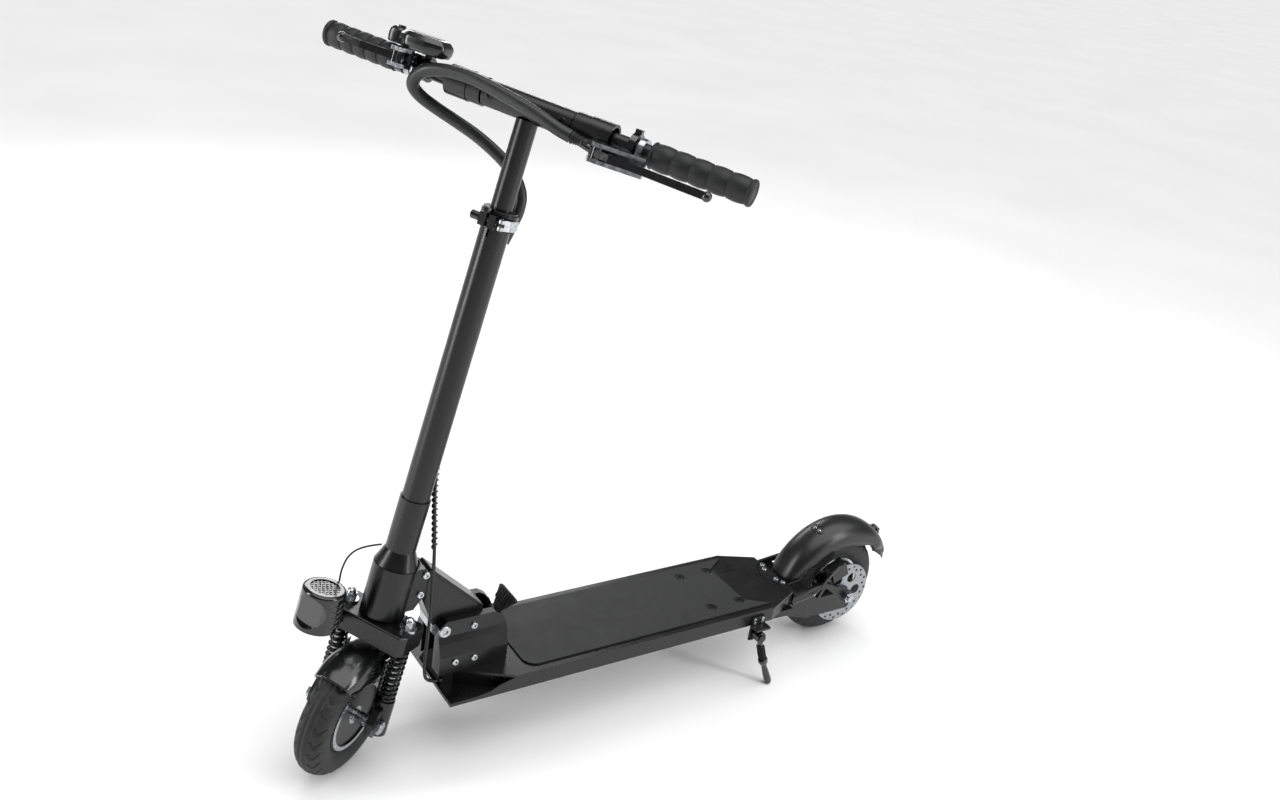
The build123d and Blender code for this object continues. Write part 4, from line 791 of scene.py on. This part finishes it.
# The grips are soft rubber, moulded with five rings and pushed over the bar, closed at the
# outer end by a flat disc.
grip_rubber = new_material("moulded_grip_rubber")
place_on = add_node(grip_rubber, "ShaderNodeTexCoord").outputs["Object"]
worn = add_node(grip_rubber, "ShaderNodeTexNoise", {"Vector": place_on, "Scale": 1 / 0.018, "Detail": 5.0})
grain = add_node(grip_rubber, "ShaderNodeTexNoise", {"Vector": place_on, "Scale": 1 / 0.0009, "Detail": 3.0})
finish_material(grip_rubber, {
    "Base Color": shades(grip_rubber, worn.outputs["Fac"], [(0.3, tint("0e0f10")), (0.72, tint("18191b"))]),
    "Roughness": shades(grip_rubber, worn.outputs["Fac"], [(0.3, grey(0.46)), (0.7, grey(0.6))]),
    "IOR": 1.5,
    "Normal": add_node(grip_rubber, "ShaderNodeBump", {
        "Height": grain.outputs["Fac"], "Strength": 0.2, "Distance": 0.0003}).outputs["Normal"],
})
coat(grip_rubber, "latch_pedal")
BAR_UP = 893.1
GRIP_END = 311.0
GRIP_RINGS = 5
for side_name, side, start in (("left", 1, 172.8), ("right", -1, 200.0)):
    outline = [(0, 0), (0, 11.2), (0, 15.2), (0.8, 16.6), (2.6, 17.3)]
    band = (GRIP_END - 7.5 - start - 5) / GRIP_RINGS
    for count in range(GRIP_RINGS):
        base = 5 + count * band
        outline += [(base - 1.0, 15.4), (base - 0.4, 15.2), (base + 0.6, 15.3), (base + 1.4, 16.4)]
        for step in range(1, 8):
            share = step / 8
            outline.append((base + 1.4 + (band - 3.4) * share, 16.4 + 0.95 * math.sin(math.pi * share)))
        outline.append((base + band - 2.0, 16.4))
    last = GRIP_END - start
    outline += [(last - short, radius) for short, radius in (
        (6.6, 15.4), (6.0, 16.7), (4.4, 17.4), (1.8, 17.3), (0.4, 16.2), (0.1, 14.6), (0.9, 13.8),
        (1.1, 9.0), (0.5, 8.2), (0.4, 0))]
    grip = new_piece("bar_grip_" + side_name, lathe(
        on_stem(0, side * start, BAR_UP), LEFT * side, outline, 72), grip_rubber)
    place(grip, side_name + "_arm", "grip_rubber", "grip_" + side_name)

# The brake levers are die cast: a bright polished housing clamped to the bar, and a black
# blade that ends in a ball. A dark glossy band beside the left one carries the bell.
polished_alloy = new_material("polished_die_cast_aluminium")
place_on = add_node(polished_alloy, "ShaderNodeTexCoord").outputs["Object"]
buffed = add_node(polished_alloy, "ShaderNodeTexNoise", {
    "Vector": place_on, "Scale": 1 / 0.006, "Detail": 6.0})
finish_material(polished_alloy, {
    "Base Color": shades(polished_alloy, buffed.outputs["Fac"], [
        (0.3, tint("8b8e92")), (0.7, tint("c6c9cc"))]),
    "Metallic": 1.0,
    "Roughness": shades(polished_alloy, buffed.outputs["Fac"], [(0.3, grey(0.14)), (0.7, grey(0.26))]),
    "Normal": add_node(polished_alloy, "ShaderNodeBump", {
        "Height": buffed.outputs["Fac"], "Strength": 0.1, "Distance": 0.0004}).outputs["Normal"],
})
gloss_cast = new_material("gloss_black_enamel")
place_on = add_node(gloss_cast, "ShaderNodeTexCoord").outputs["Object"]
pool = add_node(gloss_cast, "ShaderNodeTexNoise", {"Vector": place_on, "Scale": 1 / 0.008, "Detail": 3.0})
finish_material(gloss_cast, {
    "Base Color": shades(gloss_cast, pool.outputs["Fac"], [(0.3, tint("070708")), (0.7, tint("101012"))]),
    "Roughness": shades(gloss_cast, pool.outputs["Fac"], [(0.3, grey(0.12)), (0.7, grey(0.2))]),
    "IOR": 1.55,
    "Coat Weight": 0.6,
    "Coat Roughness": 0.06,
    "Normal": add_node(gloss_cast, "ShaderNodeBump", {
        "Height": pool.outputs["Fac"], "Strength": 0.12, "Distance": 0.0006}).outputs["Normal"],
})


def left_perch_finish(point):
    ahead, left, up = from_stem(point)
    on_bell_band = 143.4 < left < 153.4 and math.hypot(ahead, up - BAR_UP) < 25.5 and ahead < 22
    return 1 if on_bell_band or left < 101 else 0


refinish("brake_perch_left", "left_arm", "cast_alloy", (polished_alloy, gloss_cast), left_perch_finish)
refinish("brake_perch_right", "right_arm", "cast_alloy", (polished_alloy,), lambda point: 0)
coat(gloss_cast, "brake_lever_left", "brake_lever_right", "clamp_bolt")

# A ribbed rubber boot closes the sleeve's end on the left lever's adjuster.
boot_from, boot_to = on_stem(31, 77.5, 882.3), on_stem(29.4, 100, 880.4)
ribs = [(0, 0), (0, 7.6), (1.0, 8.4)]
for count in range(4):
    ribs += [(2.2 + count * 3.2, 8.2 - count * 0.5), (3.4 + count * 3.2, 6.6 - count * 0.4),
             (4.2 + count * 3.2, 6.6 - count * 0.4)]
ribs += [(16.0, 6.2), (17.0, 5.2), (22.0, 5.1), (22.0, 0)]
boot = new_piece("cable_boot_left", lathe(boot_from, boot_to - boot_from, ribs), grip_rubber)
place(boot, "left_arm", "grip_rubber")


# The display is a rounded six-cornered case in glossy ABS with a bevelled bezel and a flat
# dark glass; the switch box beside it is a smaller block of the same make.
def faceted(outline, layers, corner=5.0):
    """A case on the bar: the outline, in millimetres ahead and left, rounded at its corners
    and shrunk or grown at each layer, given as its height and its inset."""
    rounded = []
    count = len(outline)
    for index, here in enumerate(outline):
        before, after = outline[index - 1], outline[(index + 1) % count]
        ends = []
        for other in (before, after):
            away = Vector((other[0] - here[0], other[1] - here[1]))
            ends.append(Vector(here) + away * min(corner / away.length, 0.45))
        for step in range(5):
            t = step / 4
            rounded.append(ends[0] * (1 - t) ** 2 + Vector(here) * 2 * t * (1 - t) + ends[1] * t ** 2)
    centre = sum(rounded, Vector((0, 0))) / len(rounded)
    reach = max((point - centre).length for point in rounded)
    rings = []
    for height, inset in layers:
        shrink = 1 - inset / reach
        rings.append([on_stem(*(centre + (point - centre) * shrink), BAR_UP + height) for point in rounded])
    mesh = skin_between(rings)
    mesh.set_sharp_from_angle(angle=math.radians(24))
    return mesh


display_outline = [(-14, -174), (4, -191.5), (30, -191.5), (41.5, -176), (41.5, -142), (28, -124.5),
                   (0, -124.5), (-14, -140)]
display = new_piece("display_housing", faceted(display_outline, (
    (20.2, 5.0), (21.4, 3.2), (26.0, 1.0), (33.0, 0.2), (36.0, 1.2), (40.2, 5.6), (41.6, 7.6), (41.9, 9.0),
    (41.2, 9.6))), gloss_abs)
clip = new_piece("display_clip", lathe(on_stem(0, -160, BAR_UP), LEFT, (
    (0, 11.2), (0, 15.2), (0.8, 16), (9.2, 16), (10, 15.2), (10, 11.2))), gloss_abs)
post = new_piece("display_post", faceted([
    (-6, -160), (-6, -150), (8, -150), (8, -160)], ((12.5, 1.0), (13.5, 0.3), (20.6, 0.0)), 2.0), gloss_abs)
place(display, "right_arm", "gloss_black_plastic", "display_case")
place(clip, "right_arm", "gloss_black_plastic")
place(post, "right_arm", "gloss_black_plastic")

# The glass over the display is hard-coated acrylic, nearly black while it is switched off.
dark_glass = new_material("hard_coated_black_acrylic")
place_on = add_node(dark_glass, "ShaderNodeTexCoord").outputs["Object"]
depth = add_node(dark_glass, "ShaderNodeTexNoise", {"Vector": place_on, "Scale": 1 / 0.02, "Detail": 2.0})
finish_material(dark_glass, {
    "Base Color": shades(dark_glass, depth.outputs["Fac"], [(0.3, tint("040506")), (0.7, tint("0b0d10"))]),
    "Roughness": 0.05,
    "IOR": 1.49,
    "Coat Weight": 1.0,
    "Coat Roughness": 0.02,
    "Normal": add_node(dark_glass, "ShaderNodeBump", {
        "Height": depth.outputs["Fac"], "Strength": 0.03, "Distance": 0.001}).outputs["Normal"],
})
window = new_piece("display_glass", faceted([
    (-4, -170), (8, -181), (27, -181), (34, -172), (34, -146), (25, -135), (4, -135), (-4, -144)], (
        (40.6, 0.6), (41.5, 0.2), (41.8, 0.8), (41.9, 1.6)), 4.0), dark_glass)
place(window, "right_arm", "lamp_glass")

switch = new_piece("switch_housing", faceted([
    (-12, -215.8), (18, -215.8), (18, -194.7), (-12, -194.7)], (
        (19.2, 2.4), (21.0, 0.6), (30.0, 0.0), (36.0, 1.2), (39.0, 3.6), (39.8, 5.4), (39.6, 7.0)),
    6.0), gloss_abs)
place(switch, "right_arm", "gloss_black_plastic", "switch_box")
switch_ring = new_piece("switch_ring", lathe(on_stem(0, -198.5, BAR_UP), LEFT, (
    (0, 11.2), (0, 15.4), (0.8, 16), (11.2, 16), (12, 15.4), (12, 11.2))), gloss_abs)
place(switch_ring, "right_arm", "gloss_black_plastic")
switch_post = new_piece("switch_post", faceted([
    (-5, -198.2), (-5, -187), (8, -187), (8, -198.2)],
    ((12.0, 1.0), (13.0, 0.2), (19.6, 0.0)), 2.0), gloss_abs)
place(switch_post, "right_arm", "gloss_black_plastic")
throttle_body = new_piece("throttle_body", lathe(on_stem(0, -173, BAR_UP), LEFT, (
    (0.1, 11.2), (0.1, 12.6), (4.4, 12.8), (4.6, 15.0), (7.2, 15.0), (8, 14.2), (8, 11.2))), gloss_abs)
place(throttle_body, "right_arm", "gloss_black_plastic")

# The head lamp is unlit: its lens is smoked polycarbonate, fluted inside, polished outside.
smoked_lens = new_material("smoked_polycarbonate_lens")
place_on = add_node(smoked_lens, "ShaderNodeTexCoord").outputs["Object"]
flutes = add_node(smoked_lens, "ShaderNodeTexVoronoi", {"Vector": place_on, "Scale": 1 / 0.004})
finish_material(smoked_lens, {
    "Base Color": shades(smoked_lens, flutes.outputs["Distance"], [
        (0.0, tint("1b1c1e")), (1.0, tint("08090a"))]),
    "Roughness": 0.12,
    "IOR": 1.58,
    "Coat Weight": 1.0,
    "Coat Roughness": 0.03,
    "Normal": add_node(smoked_lens, "ShaderNodeBump", {
        "Height": flutes.outputs["Distance"], "Strength": 0.3, "Distance": 0.0006}).outputs["Normal"],
})
coat(smoked_lens, "lamp_lens")


# Round the back of the lamp stand five rows of wavy cooling fins, moulded with it; its top
# carries a round grille of crossed bars over the horn.
LAMP_AHEAD, LAMP_LEFT = 79.0, -55.0
GRILLE_RADIUS = 20.4
for row in range(5):
    rings = []
    for step in range(17):
        turn = math.radians(52 + 88 * step / 16)
        crest = 31.9 if 0 < step < 16 else 31.0
        base = 139.5 + row * 8.6 + 2.0 * math.sin(step / 16 * math.pi * 5)
        rings.append([
            on_stem(LAMP_AHEAD + out * math.cos(turn), LAMP_LEFT + out * math.sin(turn), base + height)
            for height, out in ((0.0, 30.2), (0.9, crest), (4.6, crest), (5.6, 30.2))])
    fin = new_piece("lamp_fin_%d" % row, skin_between(rings, smooth=False), gloss_abs)
    place(fin, "steering", "gloss_black_plastic")
for way, lean in (("a", 0.6), ("b", -0.6)):
    for count in range(-3, 4):
        offset = count * 5.2
        half = math.sqrt(GRILLE_RADIUS ** 2 - offset ** 2)
        along = Vector((math.cos(lean), math.sin(lean)))
        beside = Vector((-math.sin(lean), math.cos(lean)))
        rings = []
        for end in (-1, 1):
            middle = Vector((LAMP_AHEAD, LAMP_LEFT)) + beside * offset + along * half * end
            rings.append([on_stem(middle.x + beside.x * w, middle.y + beside.y * w, 190.4 + h) for w, h in (
                (-0.9, 0.0), (-0.6, 1.3), (0.6, 1.3), (0.9, 0.0))])
        bar = new_piece("horn_bar_%s%d" % (way, count + 3), skin_between(rings, smooth=False), gloss_abs)
        place(bar, "steering", "gloss_black_plastic")

# The side stand is a bent steel rod with a flattened foot, under a spring that snaps it
# open and shut. A black collar sits where the rod was upset to stop the spring.
STAND_HIP, STAND_KNEE, STAND_FOOT = on_deck(237, 97, 98), on_deck(217, 104, 34), on_deck(207, 112, 6)


def rod_mesh(centres, radii, ring=20):
    """A bar of changing thickness along its centres."""
    rings = []
    side = Vector((0.0, 1.0, 0.0))
    for index, at in enumerate(centres):
        ahead = (centres[min(index + 1, len(centres) - 1)] - centres[max(index - 1, 0)]).normalized()
        across = (side - ahead * side.dot(ahead)).normalized()
        upright = ahead.cross(across)
        rings.append([at + (across * math.cos(2 * math.pi * k / ring) + upright * math.sin(
            2 * math.pi * k / ring)) * radii[index] / 1000 for k in range(ring)])
    return skin_between(rings)


def along_leg(t):
    """A point on the leg's bent centre line, from 0 at the hip to 1 at the foot."""
    upper_pull = STAND_HIP + (STAND_KNEE - STAND_HIP) * 0.62
    lower_pull = STAND_KNEE + Vector((0.0012, -0.002, 0.004))
    return (STAND_HIP * (1 - t) ** 3 + upper_pull * 3 * t * (1 - t) ** 2
            + lower_pull * 3 * t ** 2 * (1 - t) + STAND_FOOT * t ** 3)


leg_centres, leg_radii = [], []
for step in range(41):
    t = step / 40
    leg_centres.append(along_leg(t))
    leg_radii.append(5.0 if t < 0.7 else 5.0 + 1.4 * math.sin((t - 0.7) / 0.3 * math.pi * 0.62))
leg = new_piece("stand_rod", rod_mesh(leg_centres, leg_radii), gloss_cast)
place(leg, "stand", "satin_black_tube", "stand_leg")
knuckle = new_piece("stand_knuckle", lathe(STAND_HIP + Vector((0, -0.0085, 0)), (0, 1, 0), (
    (0, 0), (0, 8.6), (0.9, 9.8), (15.4, 9.8), (16.2, 8.8), (16.2, 0))), gloss_cast)
place(knuckle, "stand", "satin_black_tube")
foot = new_piece("stand_foot", lathe(STAND_FOOT, leg_centres[-1] - leg_centres[-3], (
    (-7.5, 0), (-7.2, 5.6), (-2, 6.0), (2.4, 5.4), (4.6, 3.6), (5.4, 0))), grip_rubber)
place(foot, "stand", "satin_black_tube")
coil_line = []
for step in range(181):
    turn = 2 * math.pi * 7.5 * step / 180
    coil_line.append(along_leg(0.17 + 0.3 * step / 180) + Vector((math.cos(turn), math.sin(turn), 0)) * 0.0066)
stand_coil = new_piece("stand_spring_coil", rod_mesh(
    coil_line, [1.1] * len(coil_line), 8), spring_wire)
place(stand_coil, "stand", "spring_steel")
collar = new_piece("stand_collar", lathe(leg_centres[20], leg_centres[21] - leg_centres[19], (
    (-1, 0), (-1, 7.6), (0, 8.6), (5, 8.6), (6.5, 7.4), (9.5, 6.8), (10.2, 5.2), (10.2, 0))), gloss_cast)
place(collar, "stand", "satin_black_tube")

# Behind the sleeve the wires are bundled by a spiral wrap: black nylon strip wound round
# them with gaps of about its own width.
WRAP_PITCH, WRAP_REACH = 0.0085, 0.0036
wrap_line = [p for p in cable_upper_path if 0.352 < p.z < 0.50]
length_so_far, last_at, wound = 0.0, wrap_line[0], []
for start, end in zip(wrap_line, wrap_line[1:]):
    for step in range(12):
        at = start.lerp(end, step / 12)
        length_so_far += (at - last_at).length
        turn = 2 * math.pi * length_so_far / WRAP_PITCH
        wound.append(at + Vector((math.cos(turn), math.sin(turn), 0)) * WRAP_REACH)
        last_at = at
wrap = new_piece("spiral_cable_wrap", rod_mesh(wound, [1.3] * len(wound), 8), gloss_abs)
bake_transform(wrap)
